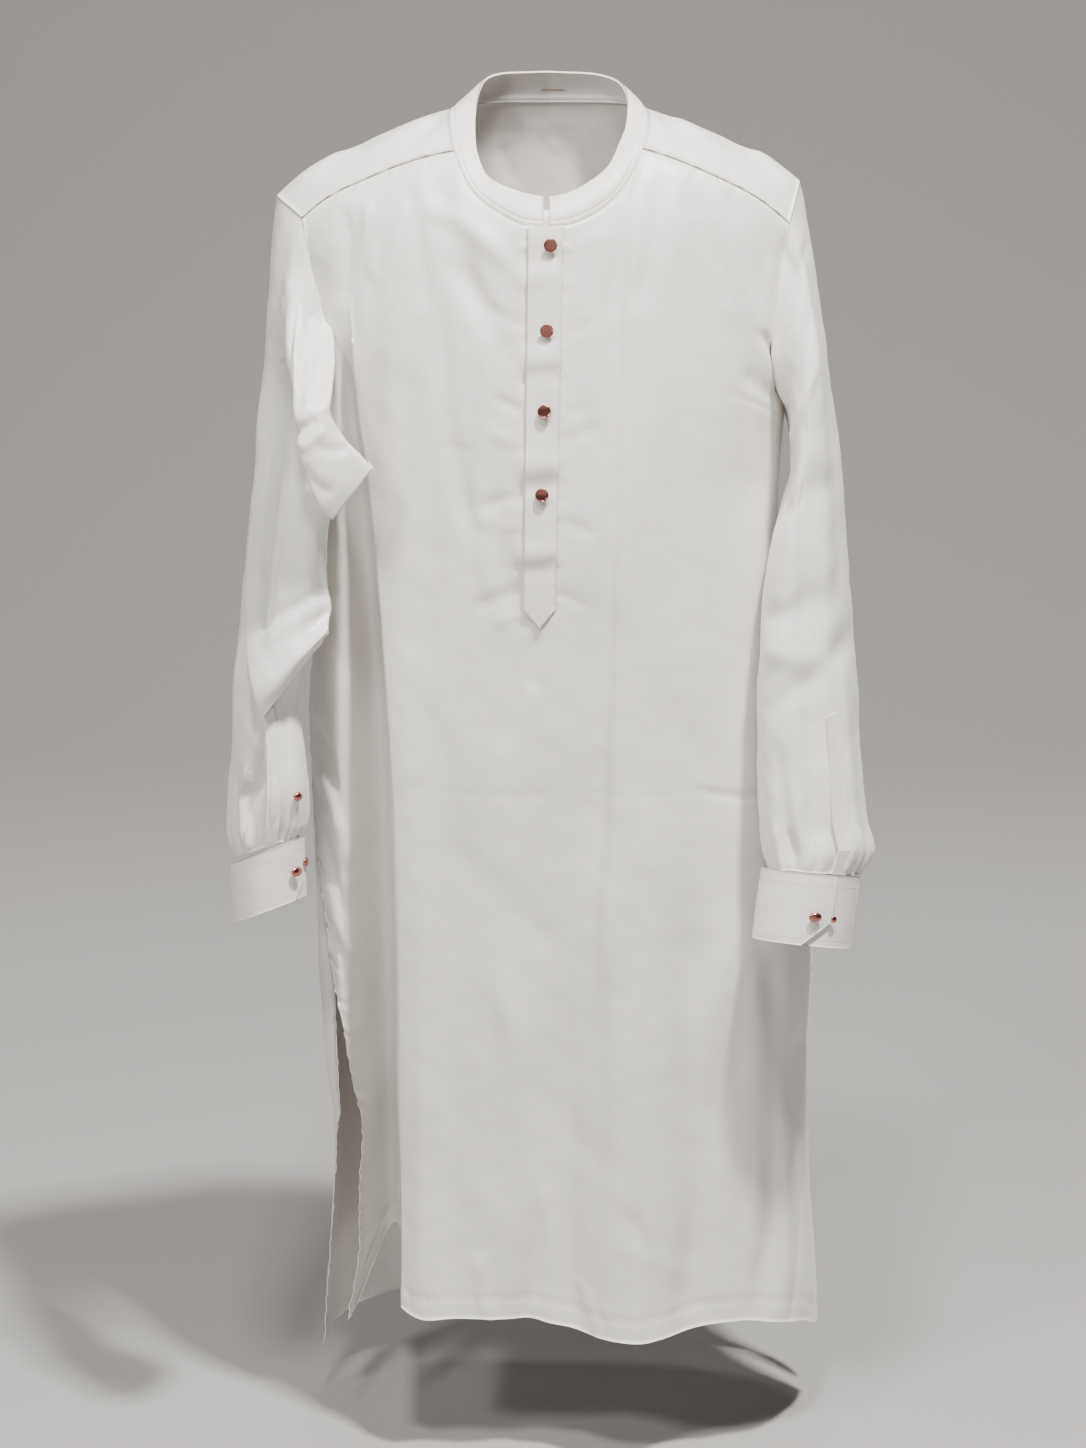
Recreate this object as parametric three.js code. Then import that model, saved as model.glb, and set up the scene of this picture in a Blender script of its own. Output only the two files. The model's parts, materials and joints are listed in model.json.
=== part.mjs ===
// Long kurta with a band collar, a shoulder yoke, a half placket, long cuffed sleeves and side slits.
// Millimetres, +Z up, the front faces -Y, +X is the wearer's left. Z = 0 is the neck side of the
// shoulder line. The garment is filled out as if worn, with nothing inside.
// Every cloth piece is a grid of points on one shared form, given a wall on the inner side.
import * as THREE from 'three';

// ---- walls and gaps ----
const WALL = 1.6;               // one cloth layer
const COLLAR_WALL = 2.2;        // stiffened band
const CUFF_WALL = 2.2;          // stiffened band
const PLACKET_WALL = 1.8;       // folded strip
const HALF_SEAM = 0.2;          // each piece stops this far from the seam line
const LIFT = 0.35;              // air under a piece that lies on another

// ---- levels ----
const CHEST_LINE = -110;        // above this line the front and back run up to the yoke
const BACK_SEAM = -90;          // level of the back yoke seam
const UNDERARM = -250;
const SLIT_TOP = -747;

// ---- roundness of the level sections: 1 is an ellipse, less is squarer ----
const SIDE_POWER = 0.85;
const FACE_POWER = 0.85;

// ---- tables: a row for each section, named columns ----
const rows = (names, list) => list.map((values) => Object.fromEntries(names.map((n, i) => [n, values[i]])));

// Level sections of the body: half widths on the wearer's right and left, depths to front and back.
const BODY = rows(['z', 'right', 'left', 'front', 'back'], [
  [-60, 229, 214, 80, 82],
  [-110, 222, 211, 92, 88],
  [-180, 213, 207, 106, 92],
  [-250, 203, 203, 115, 92],
  [-330, 198, 199, 121, 88],
  [-420, 202, 203, 124, 86],
  [-510, 210, 211, 126, 88],
  [-620, 209, 224, 128, 92],
  [-750, 206, 237, 130, 98],
  [-840, 202, 234, 131, 101],
  [-905, 194, 236, 132, 103],
  [-1000, 199, 242, 134, 106],
  [-1060, 204, 247, 136, 108],
  [-1130, 209, 250, 138, 110],
]);

// Side edges of the front: armholes, then side seams, then slit edges. Share of the half width.
const FRONT_EDGE = rows(['z', 'right', 'left'], [
  [-110, 0.910, 0.934],
  [-150, 0.893, 0.913],
  [-190, 0.893, 0.910],
  [-225, 0.935, 0.942],
  [-250, 1, 1],
  [-510, 1, 1],
  [-600, 0.985, 1],
  [-747, 0.920, 1],
  [-800, 0.880, 0.999],
  [-860, 0.860, 0.998],
  [-940, 0.872, 0.998],
  [-1010, 0.856, 0.998],
  [-1070, 0.885, 0.998],
]);

// Side edges of the back above the underarm and beside the slits: share of the half width, and how
// far it wraps on round to the front beside the right slit, in degrees.
const BACK_EDGE = rows(['z', 'right', 'left', 'wrap'], [
  [-90, 0.918, 0.955, 0],
  [-110, 0.922, 0.958, 0],
  [-150, 0.925, 0.955, 0],
  [-190, 0.932, 0.955, 0],
  [-225, 0.965, 0.975, 0],
  [-250, 1, 1, 0],
  [-747, 1, 1, 25],
  [-830, 1, 0.999, 24],
  [-870, 1, 0.999, 21],
  [-905, 1, 0.998, 10],
  [-1000, 1, 0.998, 4],
  [-1130, 1, 0.998, 0],
]);

// The one deep fold in the front, on the wearer's right: where its mouth opens and how deep it runs.
const DEEP_FOLD = rows(['z', 'outer', 'inner', 'depth'], [
  [-110, -186, -160, 0],
  [-140, -182, -168, 0],
  [-225, -174, -163, 12],
  [-300, -170, -153, 26],
  [-390, -166, -144, 42],
  [-510, -164, -136, 62],
  [-650, -164, -131, 84],
  [-800, -164, -130, 104],
  [-900, -163, -130, 122],
  [-1070, -166, -130, 158],
]);

// Soft folds of the front: ridges stand out (negative depth), troughs sink in.
const SOFT_FOLDS = rows(['name', 'xTop', 'zTop', 'xFoot', 'zFoot', 'width', 'top', 'foot'], [
  ['main ridge', 78, -150, 84, -1070, 48, 0, -24],
  ['side ridge', 150, -420, 196, -1070, 40, 0, -16],
  ['middle trough', 30, -520, -16, -1070, 34, 0, 10],
  ['ridge by the deep fold', -128, -150, -112, -1070, 26, 0, -10],
  ['armhole trough', -146, -60, -150, -300, 14, 7, 2],
  ['chest trough', -108, -90, -112, -260, 16, 4, 0],
  ['right chest trough', 132, -110, 150, -300, 20, 4, 2],
]);

// Hem levels, along the width of each panel (share from the wearer's right edge to the left edge).
const FRONT_HEM = rows(['at', 'z'], [
  [0, -1072], [0.07, -1060], [0.12, -1044], [0.17, -1026], [0.24, -1016], [0.28, -1018], [0.31, -1034],
  [0.4, -1040], [0.55, -1039], [0.7, -1052], [0.8, -1045], [0.9, -1062], [0.96, -1082], [1, -1092],
]);
const BACK_HEM = rows(['at', 'z'], [[0, -1121], [0.15, -1108], [0.5, -1090], [0.85, -1086], [1, -1084]]);

// The neck seam and the top edge of the collar, by angle from the centre front (wearer's left +).
const NECK = rows(['angle', 'x', 'y', 'z', 'topX', 'topY', 'topZ'], [
  [-180, 0, 75, 7, 0, 61, 34],
  [-150, -42, 68, 7, -37, 56, 33],
  [-120, -73, 43, 6, -55, 42, 28],
  [-90, -84, 5, 2, -61, 5, 12],
  [-75, -83, -22, -9, -62, -19, -7],
  [-60, -79, -43, -27, -61, -36, -23],
  [-45, -63, -66, -59, -52, -55, -46],
  [-24, -38, -79, -77, -33, -65, -56],
  [-10, -17, -86, -85, -16, -69, -61],
  [0, -2, -87, -86, -2, -71, -63],
  [9, 12, -85, -85, 11, -70, -61],
  [24, 35, -78, -77, 32, -63, -52],
  [45, 60, -64, -58, 50, -53, -38],
  [60, 78, -43, -25, 59, -37, -21],
  [75, 83, -22, -9, 65, -19, -6],
  [90, 84, 5, 2, 67, 5, 12],
  [120, 73, 43, 6, 61, 38, 26],
  [150, 42, 68, 7, 40, 56, 32],
  [180, 0, 75, 7, 0, 61, 34],
]);

// Edges of the yoke over each shoulder: corners at the armhole, tip of the shoulder.
const YOKE = {
  right: { front: [-207, -42, -87], tip: [-231, 0, -71], crown: 12 },
  left: { front: [202, -42, -89], tip: [213, 0, -59], crown: 9 },
};
const YOKE_INNER_X = 92;        // where the shoulder parts of the yoke meet its back part
const YOKE_LEAVE = 115;         // neck angle at which the shoulder part leaves the neck seam
const BACK_ROUND = 11;          // how far the upper back stands out past a straight line

// Sleeves: each row is one section. Outer line, inner line, half depths to front and back, and how
// much the front of the section stands higher than its middle (rise over run).
const SLEEVE_COLUMNS = ['outX', 'outY', 'outZ', 'inX', 'inY', 'inZ', 'front', 'back', 'lean'];
const LEFT_SLEEVE = rows(SLEEVE_COLUMNS, [
  [213, 0, -59, 203, 0, -250, 50, 40, 0],
  [222, -8, -100, 207, -26, -268, 56, 46, 0],
  [230, -15, -150, 206, -48, -296, 58, 44, 0],
  [239, -22, -210, 196, -66, -330, 56, 40, 0],
  [249, -32, -280, 186, -80, -368, 53, 38, 0.02],
  [255, -46, -350, 181, -90, -412, 50, 40, 0.05],
  [260, -62, -420, 178, -99, -460, 47, 42, 0.1],
  [265, -80, -490, 177, -108, -512, 45, 43, 0.15],
  [269, -94, -545, 178, -115, -556, 43, 43, 0.19],
  [273, -106, -590, 179, -121, -592, 42, 42, 0.22],
  [279, -114, -612, 182, -125, -611, 40, 40, 0.24],
  [267, -120, -634, 187, -129, -625, 36, 36, 0.24],
]);
const RIGHT_SLEEVE = rows(SLEEVE_COLUMNS, [
  [-231, 0, -71, -203, 0, -250, 50, 40, 0],
  [-236, -8, -112, -207, -36, -258, 58, 44, 0],
  [-239, -15, -150, -194, -82, -264, 50, 36, 0],
  [-242, -21, -190, -168, -112, -268, 38, 28, 0],
  [-246, -27, -232, -150, -124, -282, 28, 24, 0],
  [-250, -33, -270, -166, -120, -306, 30, 26, 0],
  [-252, -40, -306, -182, -112, -330, 38, 34, 0.02],
  [-257, -48, -350, -187, -106, -366, 42, 38, 0.05],
  [-261, -56, -395, -189, -104, -400, 42, 40, 0.08],
  [-265, -64, -432, -191, -104, -430, 42, 38, 0.1],
  [-268, -72, -462, -208, -106, -456, 38, 36, 0.12],
  [-270, -79, -492, -214, -108, -486, 36, 34, 0.14],
  [-272, -87, -530, -207, -112, -526, 38, 34, 0.17],
  [-275, -93, -570, -205, -114, -564, 40, 34, 0.2],
  [-276, -95, -600, -207, -113, -590, 38, 32, 0.22],
  [-270, -94, -625, -214, -111, -603, 36, 32, 0.24],
]);
const SLEEVE_BLEND = 3;         // rows over which the sleeve leaves the true armhole line

// Cuffs: top and foot centres, half width and depth, slopes of the rims across and forward, lap angle.
const CUFF_COLUMNS = ['name', 'x', 'y', 'z', 'footX', 'footY', 'footZ', 'wide', 'deep', 'slope', 'lean',
  'lap'];
const CUFFS = rows(CUFF_COLUMNS, [
  ['cuff_left', 224.5, -126, -630, 216.5, -135, -690, 40.5, 37, -0.11, 0.24, -21],
  ['cuff_right', -242, -103, -617.2, -240, -104, -669, 30, 42, 0.39, 0.24, 30],
]);
const CUFF_STEPS = 26;
const CUFF_LAP = 46;            // degrees of overlap
const LAP_RISE = 3.6;           // the upper layer stands this far off the lower one

// Front placket.
const PLACKET = { right: -17, left: 11, foot: -401, point: -417 };
const BUTTONS = rows(['name', 'x', 'z'], [
  ['button_1', 1, -101], ['button_2', -2, -170], ['button_3', -4, -236], ['button_4', -6, -305],
]);
const CUFFLINKS = rows(['name', 'cuff', 'angle', 'down'], [
  ['cufflink_left', 0, 5, 0.58], ['cufflink_right', 1, 45, 0.5],
]);
const CUFFLINK = { radius: 5.6, edge: 2.2, rise: 4, shank: 1.6 };
const SLEEVE_BUTTON = { row: 13, angle: -138, radius: 4.6, edge: 1.5, rise: 3, shank: 1.4 };
const BUTTON = { radius: 5.4, edge: 1.6, rise: 3.2, shank: 1.7 };
const BEVEL = 0.5;              // of every disc's rims
const TURNED_SIDES = 20;

// ---- looks ----
const cloth = new THREE.MeshStandardMaterial({ color: 0xe9e6e0, roughness: 0.62, metalness: 0 });
const metal = new THREE.MeshStandardMaterial({ color: 0xb87a68, roughness: 0.16, metalness: 1 });

// ---- small helpers ----
const mirrored = (grid) => grid.map((row) => [...row].reverse());
const V = (x, y, z) => new THREE.Vector3(x, y, z);
const mix = (a, b, t) => a + (b - a) * t;
const mixV = (a, b, t) => a.clone().lerp(b, t);
const radians = (degrees) => degrees * Math.PI / 180;
const signedPower = (value, power) => Math.sign(value) * Math.abs(value) ** power;

// Smooth value of a column at a key, without overshoot; the table may run up or down.
function lookup(table, key, column, at) {
  const n = table.length - 1;
  const turn = Math.sign(table[n][key] - table[0][key]);
  if ((at - table[0][key]) * turn <= 0) return table[0][column];
  if ((at - table[n][key]) * turn >= 0) return table[n][column];
  let i = 0;
  while ((at - table[i + 1][key]) * turn > 0) i += 1;
  const slope = (k) => (table[k + 1][column] - table[k][column]) / (table[k + 1][key] - table[k][key]);
  const tangent = (k) => {
    if (k === 0) return slope(0);
    if (k === n) return slope(n - 1);
    const a = slope(k - 1);
    const b = slope(k);
    return a * b <= 0 ? 0 : 2 * a * b / (a + b);
  };
  const h = table[i + 1][key] - table[i][key];
  const t = (at - table[i][key]) / h;
  const t2 = t * t;
  const t3 = t2 * t;
  return (2 * t3 - 3 * t2 + 1) * table[i][column] + (t3 - 2 * t2 + t) * h * tangent(i)
    + (3 * t2 - 2 * t3) * table[i + 1][column] + (t3 - t2) * h * tangent(i + 1);
}

// ---- the body form ----
const halfWidth = (z, side) => lookup(BODY, 'z', side > 0 ? 'left' : 'right', z);

// Angle round the body (0 is the front, + to the wearer's left) of a point at x on the front side.
function angleOf(x, z) {
  const share = Math.min(1, Math.abs(x) / halfWidth(z, x));
  return Math.sign(x) * Math.asin(share ** (1 / SIDE_POWER)) * 180 / Math.PI;
}

// Bell from 1 at the middle to 0, one width away it is small.
const bell = (distance, width) => Math.exp(-((distance / width) ** 2));

function softFolds(x, z) {
  let sink = 0;
  for (const fold of SOFT_FOLDS) {
    const t = (z - fold.zTop) / (fold.zFoot - fold.zTop);
    if (t <= -0.12 || t >= 1.25) continue;
    const along = Math.min(1, Math.max(0, t));
    const fade = t < 0 ? 1 + t / 0.12 : Math.min(1, (1.25 - t) / 0.25);
    sink += mix(fold.top, fold.foot, along) * fade * bell(x - mix(fold.xTop, fold.xFoot, t), fold.width);
  }
  return sink;
}

// Depth of the deep fold at x: steep on the inner side, easier on the outer side.
function deepFold(x, z) {
  const outer = lookup(DEEP_FOLD, 'z', 'outer', z);
  const inner = lookup(DEEP_FOLD, 'z', 'inner', z);
  const depth = lookup(DEEP_FOLD, 'z', 'depth', z);
  const s = (x - outer) / (inner - outer);
  if (s <= -0.7 || s >= 1 || depth <= 0) return 0;
  const entry = s < 0.62 ? Math.sin((s + 0.7) / 1.32 * Math.PI / 2) ** 2 : 1;
  const exit = s > 0.72 ? 1 - ((s - 0.72) / 0.28) ** 2 : 1;
  return depth * entry * exit;
}

function bodyPoint(angle, z) {
  const a = radians(angle);
  const side = Math.sin(a);
  const face = Math.cos(a);
  const x = halfWidth(z, side) * signedPower(side, SIDE_POWER);
  const depth = lookup(BODY, 'z', face > 0 ? 'front' : 'back', z);
  const y = -depth * signedPower(face, FACE_POWER);
  return V(x, y, z);
}

function frontPoint(angle, z) {
  const p = bodyPoint(angle, z);
  const edge = lookup(FRONT_EDGE, 'z', p.x > 0 ? 'left' : 'right', z) * halfWidth(z, p.x);
  const fade = Math.min(1, Math.max(0, (edge - Math.abs(p.x) - 0.01) / 26));
  p.y += softFolds(p.x, z) * fade + deepFold(p.x, z);
  return p;
}

// ---- grids of the front ----
const neckPoint = (angle) => V(...['x', 'y', 'z'].map((c) => lookup(NECK, 'angle', c, angle)));
const collarTop = (angle) => V(...['topX', 'topY', 'topZ'].map((c) => lookup(NECK, 'angle', c, angle)));

// Neck angles shared by the front and the collar, wearer's right to left.
const FRONT_NECK = [-60, -45, -33, -22, -10, 0, 9, 21, 33, 45, 60];
const SIDE_NECK = [60, 75, 90, 102, YOKE_LEAVE];
const BACK_NECK = [YOKE_LEAVE, 132, 156, 180, 204, 228, 360 - YOKE_LEAVE];
const SHOULDER_STEPS = 6;
const OVER_STEPS = 8;

const yokeCorner = (side) => V(...YOKE[side].front);
const sideSign = { right: -1, left: 1 };

// Front yoke seam: from the armhole corner (0) to the neck (1), crowned a little.
function frontSeam(side, t) {
  const p = mixV(yokeCorner(side), neckPoint(sideSign[side] * 60), t);
  p.z += YOKE[side].crown * 4 * t * (1 - t) * 0.9;
  p.y -= 4 * 4 * t * (1 - t);
  return p;
}

// Levels of the front and back, top to bottom, down to where the hem tables take over.
const ARM_LEVELS = [-110, -136, -163, -190, -213, -232, -245, -250];
const LEVELS = [...ARM_LEVELS, -285, -325, -363, -401, -450, -500, -560, -620, -685, -747, -790, -840,
  -890, -940, -985, -1020];

// Columns of the front: knots that follow the folds, and the shares between them.
const evenly = (n) => Array.from({ length: n }, (_, i) => i / n);
const FOLD_SHARES = [0, 0.3, 0.55, 0.74, 0.86, 0.95];
const NECK_HALF = { top: 79, foot: 96, fall: 300 };   // half width of the columns under the neck
function frontAngles(z) {
  const right = lookup(FRONT_EDGE, 'z', 'right', z) ** (1 / SIDE_POWER);
  const left = lookup(FRONT_EDGE, 'z', 'left', z) ** (1 / SIDE_POWER);
  const neck = mix(NECK_HALF.top, NECK_HALF.foot, Math.min(1, (CHEST_LINE - z) / NECK_HALF.fall));
  const drop = Math.min(1, (CHEST_LINE - z) / (CHEST_LINE - PLACKET.point));
  const knots = [
    { at: -Math.asin(right) * 180 / Math.PI, shares: [0, 0.4, 0.75] },
    { at: angleOf(lookup(DEEP_FOLD, 'z', 'outer', z), z), shares: FOLD_SHARES },
    { at: angleOf(lookup(DEEP_FOLD, 'z', 'inner', z), z), shares: evenly(4) },
    { at: angleOf(-neck, z), shares: evenly(4) },
    { at: angleOf(PLACKET.right - 4 * drop, z), shares: [0, 0.5] },
    { at: angleOf(PLACKET.left - 6 * drop, z), shares: evenly(4) },
    { at: angleOf(neck, z), shares: evenly(SHOULDER_STEPS) },
    { at: Math.asin(left) * 180 / Math.PI, shares: [0] },
  ];
  return knots.flatMap((knot, i) => knot.shares.map((s) => (
    s === 0 ? knot.at : mix(knot.at, knots[i + 1].at, s))));
}
const FRONT_COLUMNS = frontAngles(CHEST_LINE).length;
const NECK_FIRST = 3 + FOLD_SHARES.length + 4;      // column of the front at the right end of the neck

// Columns of the right half that run together on the same point of the yoke seam.
const RIGHT_GATHER = [0, 1, 2, 2, 2, 3, 3, 3, 3, 4, 4, 5, 5];

// Top line of the front: right yoke seam, neck, left yoke seam.
function frontTop(column) {
  const neckLast = NECK_FIRST + FRONT_NECK.length - 1;
  if (column < NECK_FIRST) return frontSeam('right', RIGHT_GATHER[column] / SHOULDER_STEPS);
  if (column <= neckLast) return neckPoint(FRONT_NECK[column - NECK_FIRST]);
  return frontSeam('left', (FRONT_COLUMNS - 1 - column) / SHOULDER_STEPS);
}

const TOP_ROWS = 3;
const CHEST_ROUND = 0.07;       // the upper front stands out by this share of its height
function frontGrid() {
  const grid = [];
  const base = frontAngles(CHEST_LINE).map((angle) => frontPoint(angle, CHEST_LINE));
  for (let r = TOP_ROWS; r >= 1; r -= 1) {
    const t = r / TOP_ROWS;
    grid.push(base.map((p, c) => {
      const q = mixV(p, frontTop(c), t);
      q.y -= CHEST_ROUND * 4 * t * (1 - t) * frontTop(c).distanceTo(p);
      q.y += softFolds(q.x, q.z) * t * (1 - t);
      return q;
    }));
  }
  for (const z of LEVELS) grid.push(frontAngles(z).map((angle) => frontPoint(angle, z)));
  const hem = frontAngles(-1045).map((angle, c) => {
    const z = lookup(FRONT_HEM, 'at', 'z', c / (FRONT_COLUMNS - 1));
    return frontPoint(frontAngles(z)[c], z);
  });
  grid.push(hem);
  return grid;
}

// ---- grid of the back ----
const BACK_COLUMNS = 2 * SHOULDER_STEPS + BACK_NECK.length - 1;
function backAngles(z) {
  const front = frontAngles(z);
  const seamed = z < UNDERARM && z >= SLIT_TOP;
  const ends = ['left', 'right'].map((side) => (
    Math.asin(lookup(BACK_EDGE, 'z', side, z) ** (1 / SIDE_POWER)) * 180 / Math.PI));
  const first = seamed ? front[front.length - 1] : 180 - ends[0];
  const last = seamed ? 360 + front[0] : 180 + ends[1] + lookup(BACK_EDGE, 'z', 'wrap', z);
  const inner = 180 - Math.abs(angleOf(YOKE_INNER_X, z));
  const knots = [first, inner, 360 - inner, last];
  const steps = [SHOULDER_STEPS, BACK_NECK.length - 1, SHOULDER_STEPS];
  const angles = steps.flatMap((n, i) => evenly(n).map((s) => mix(knots[i], knots[i + 1], s)));
  return [...angles, last];
}

function backGrid() {
  const grid = [backAngles(BACK_SEAM).map((angle) => bodyPoint(angle, BACK_SEAM))];
  for (const z of LEVELS) grid.push(backAngles(z).map((angle) => bodyPoint(angle, z)));
  grid.push(backAngles(-1090).map((angle, c) => {
    const z = lookup(BACK_HEM, 'at', 'z', 1 - c / BACK_COLUMNS);
    return bodyPoint(backAngles(z)[c], z);
  }));
  return grid;
}

// ---- yoke ----
// Armhole edge of the yoke, from the front corner over the tip to the back corner.
function yokeArmEdge(side) {
  const angles = backAngles(BACK_SEAM);
  const back = bodyPoint(side === 'left' ? angles[0] : angles[BACK_COLUMNS], BACK_SEAM);
  const front = yokeCorner(side);
  const tip = V(...YOKE[side].tip);
  return Array.from({ length: OVER_STEPS + 1 }, (_, i) => {
    const t = i / OVER_STEPS;
    const p = mixV(front, back, t);
    const crown = tip.clone().sub(mixV(front, back, 0.5));
    return p.add(crown.multiplyScalar(1 - (2 * t - 1) ** 2));
  });
}

function yokeInnerEdge(side) {
  const angles = backAngles(BACK_SEAM);
  const column = side === 'left' ? SHOULDER_STEPS : BACK_COLUMNS - SHOULDER_STEPS;
  const seam = bodyPoint(angles[column], BACK_SEAM);
  const along = SIDE_NECK.map((angle) => neckPoint(sideSign[side] * angle));
  const leave = along[along.length - 1];
  const rest = OVER_STEPS - SIDE_NECK.length + 1;
  for (let i = 1; i <= rest; i += 1) along.push(backRun(leave, seam, i / rest));
  return along;
}

// A line down the upper back, rounded out.
function backRun(from, to, t) {
  const p = mixV(from, to, t);
  const swell = BACK_ROUND * 4 * t * (1 - t) * Math.min(1, Math.abs(to.y - from.y) / 40 + 0.25);
  p.y += swell * 0.75;
  p.z += swell * 0.65;
  return p;
}

function shoulderPatch(side) {
  const arm = yokeArmEdge(side);
  const inner = yokeInnerEdge(side);
  const angles = backAngles(BACK_SEAM);
  const grid = arm.map((from, v) => Array.from({ length: SHOULDER_STEPS + 1 }, (_, u) => {
    const t = u / SHOULDER_STEPS;
    const p = mixV(from, inner[v], t);
    const down = v / OVER_STEPS;
    p.z += YOKE[side].crown * 4 * t * (1 - t) * 0.9 * (1 - down ** 3);
    p.y += 4 * 4 * t * (1 - t) * (down - 1);
    return p;
  }));
  grid[0] = grid[0].map((p, u) => frontSeam(side, u / SHOULDER_STEPS));
  grid[OVER_STEPS] = grid[OVER_STEPS].map((p, u) => (
    bodyPoint(angles[side === 'left' ? u : BACK_COLUMNS - u], BACK_SEAM)));
  return grid;
}

function backPatch() {
  const angles = backAngles(BACK_SEAM);
  const rest = OVER_STEPS - SIDE_NECK.length + 1;
  const start = SHOULDER_STEPS;
  return Array.from({ length: rest + 1 }, (_, r) => BACK_NECK.map((angle, i) => {
    const turned = angle > 180 ? angle - 360 : angle;
    return backRun(neckPoint(turned), bodyPoint(angles[start + i], BACK_SEAM), r / rest);
  }));
}

// ---- collar ----
const COLLAR_GAP = 1.3;         // each end of the collar stops this far from the centre line
const COLLAR_ROWS = 3;
function collarGrid() {
  const half = FRONT_NECK.indexOf(0);
  const angles = [
    ...FRONT_NECK.slice(half), ...SIDE_NECK.slice(1), ...BACK_NECK.slice(1),
    ...SIDE_NECK.slice(0, -1).reverse().map((a) => 360 - a),
    ...FRONT_NECK.slice(0, half + 1).reverse().map((a) => 360 + a).sort((a, b) => a - b).slice(1),
  ];
  const at = (angle) => (angle > 180 ? angle - 360 : angle);
  const column = (angle) => Array.from({ length: COLLAR_ROWS + 1 }, (_, r) => {
    const t = r / COLLAR_ROWS;
    const p = mixV(neckPoint(at(angle)), collarTop(at(angle)), t);
    const away = V(p.x, p.y, 0).normalize().multiplyScalar(3.2 * 4 * t * (1 - t));
    return p.add(away);
  });
  const columns = angles.map(column);
  const last = columns.length - 1;
  const ease = (list, next) => list.map((p, r) => mixV(p, next[r], COLLAR_GAP / p.distanceTo(next[r])));
  const ends = [ease(columns[0], columns[1]), ease(columns[last], columns[last - 1])];
  const open = [ends[0], ...columns.slice(1, last), ends[1]];
  return Array.from({ length: COLLAR_ROWS + 1 }, (_, r) => open.map((list) => list[r]));
}

// ---- sleeves ----
// Closed armhole line: up the front from the underarm, over the yoke, down the back.
function armhole(side) {
  const front = frontGrid();
  const back = backGrid();
  const down = TOP_ROWS + ARM_LEVELS.length - 1;
  const frontColumn = side === 'left' ? FRONT_COLUMNS - 1 : 0;
  const backColumn = side === 'left' ? 0 : BACK_COLUMNS;
  const loop = [];
  for (let r = down; r >= 1; r -= 1) loop.push(front[r][frontColumn]);
  loop.push(...yokeArmEdge(side));
  for (let r = 1; r <= ARM_LEVELS.length; r += 1) loop.push(back[r][backColumn]);
  loop[loop.length - 1] = loop[0];
  return { loop, tip: down + OVER_STEPS / 2 };
}

// Ring angle of each armhole point: 0 at the shoulder tip, -180 at the underarm by way of the front.
function ringAngles({ loop, tip }) {
  const run = [0];
  for (let i = 1; i < loop.length; i += 1) run.push(run[i - 1] + loop[i].distanceTo(loop[i - 1]));
  const total = run[run.length - 1];
  return run.map((s) => (
    s <= run[tip] ? (s / run[tip] - 1) * 180 : (s - run[tip]) / (total - run[tip]) * 180));
}

function ringPoint(section, angle) {
  const a = radians(angle);
  const out = V(section.outX, section.outY, section.outZ);
  const into = V(section.inX, section.inY, section.inZ);
  const p = mixV(into, out, (1 + Math.cos(a)) / 2);
  const reach = Math.sin(a) * (a < 0 ? section.front : section.back);
  p.y += reach;
  p.z -= reach * section.lean;
  return p;
}

function sleeveGrid(side) {
  const table = side === 'left' ? LEFT_SLEEVE : RIGHT_SLEEVE;
  const hole = armhole(side);
  const angles = ringAngles(hole);
  return table.map((section, k) => angles.map((angle, i) => {
    const p = ringPoint(section, angle);
    if (k >= SLEEVE_BLEND) return p;
    const miss = hole.loop[i].clone().sub(ringPoint(table[0], angle));
    return p.add(miss.multiplyScalar((1 - k / SLEEVE_BLEND) ** 2));
  }));
}

// ---- cuffs ----
function cuffPoint(cuff, share, down) {
  const a = radians(cuff.lap + share * (360 + CUFF_LAP));
  const rise = LAP_RISE * share;
  const x = (cuff.wide + rise) * Math.sin(a);
  const y = -(cuff.deep + rise) * Math.cos(a);
  return V(mix(cuff.x, cuff.footX, down) + x, mix(cuff.y, cuff.footY, down) + y,
    mix(cuff.z, cuff.footZ, down) + cuff.slope * x - cuff.lean * y);
}
const cuffGrid = (cuff) => [0, 0.5, 1].map((down) => (
  Array.from({ length: CUFF_STEPS + 1 }, (_, i) => cuffPoint(cuff, i / CUFF_STEPS, down))));

// ---- strips that lie on a panel ----
// Points of a grid moved out along its own normals.
function raise(grid, amount) {
  return grid.map((row, r) => row.map((p, c) => {
    const across = row[Math.min(c + 1, row.length - 1)].clone().sub(row[Math.max(c - 1, 0)]);
    const below = grid[Math.min(r + 1, grid.length - 1)][c];
    const above = grid[Math.max(r - 1, 0)][c];
    const normal = below.clone().sub(above).cross(across).normalize();
    return p.clone().add(normal.multiplyScalar(amount));
  }));
}

function placketGrid() {
  const first = NECK_FIRST + FRONT_NECK.indexOf(-10);
  const foot = TOP_ROWS + LEVELS.indexOf(PLACKET.foot);
  const front = frontGrid();
  const strip = front.slice(0, foot + 1).map((row) => row.slice(first, first + 3));
  const fall = (PLACKET.foot - PLACKET.point) / (PLACKET.foot - LEVELS[LEVELS.indexOf(PLACKET.foot) + 1]);
  const point = mixV(front[foot][first + 1], front[foot + 1][first + 1], fall);
  const raised = raise([...strip, front[foot + 1].slice(first, first + 3)], LIFT + PLACKET_WALL);
  const lift = raised[foot + 1][1].clone().sub(front[foot + 1][first + 1]);
  point.add(lift);
  raised[foot + 1] = [point, point, point];
  return raised;
}

// Point of the outer face of the placket, on its left half.
function placketFace(x, z) {
  const grid = placketGrid();
  let r = 0;
  while (grid[r + 1][1].z > z) r += 1;
  const at = (row) => mixV(row[1], row[2], (x - row[1].x) / (row[2].x - row[1].x));
  const [above, below] = [at(grid[r]), at(grid[r + 1])];
  return mixV(above, below, (above.z - z) / (above.z - below.z));
}

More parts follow.
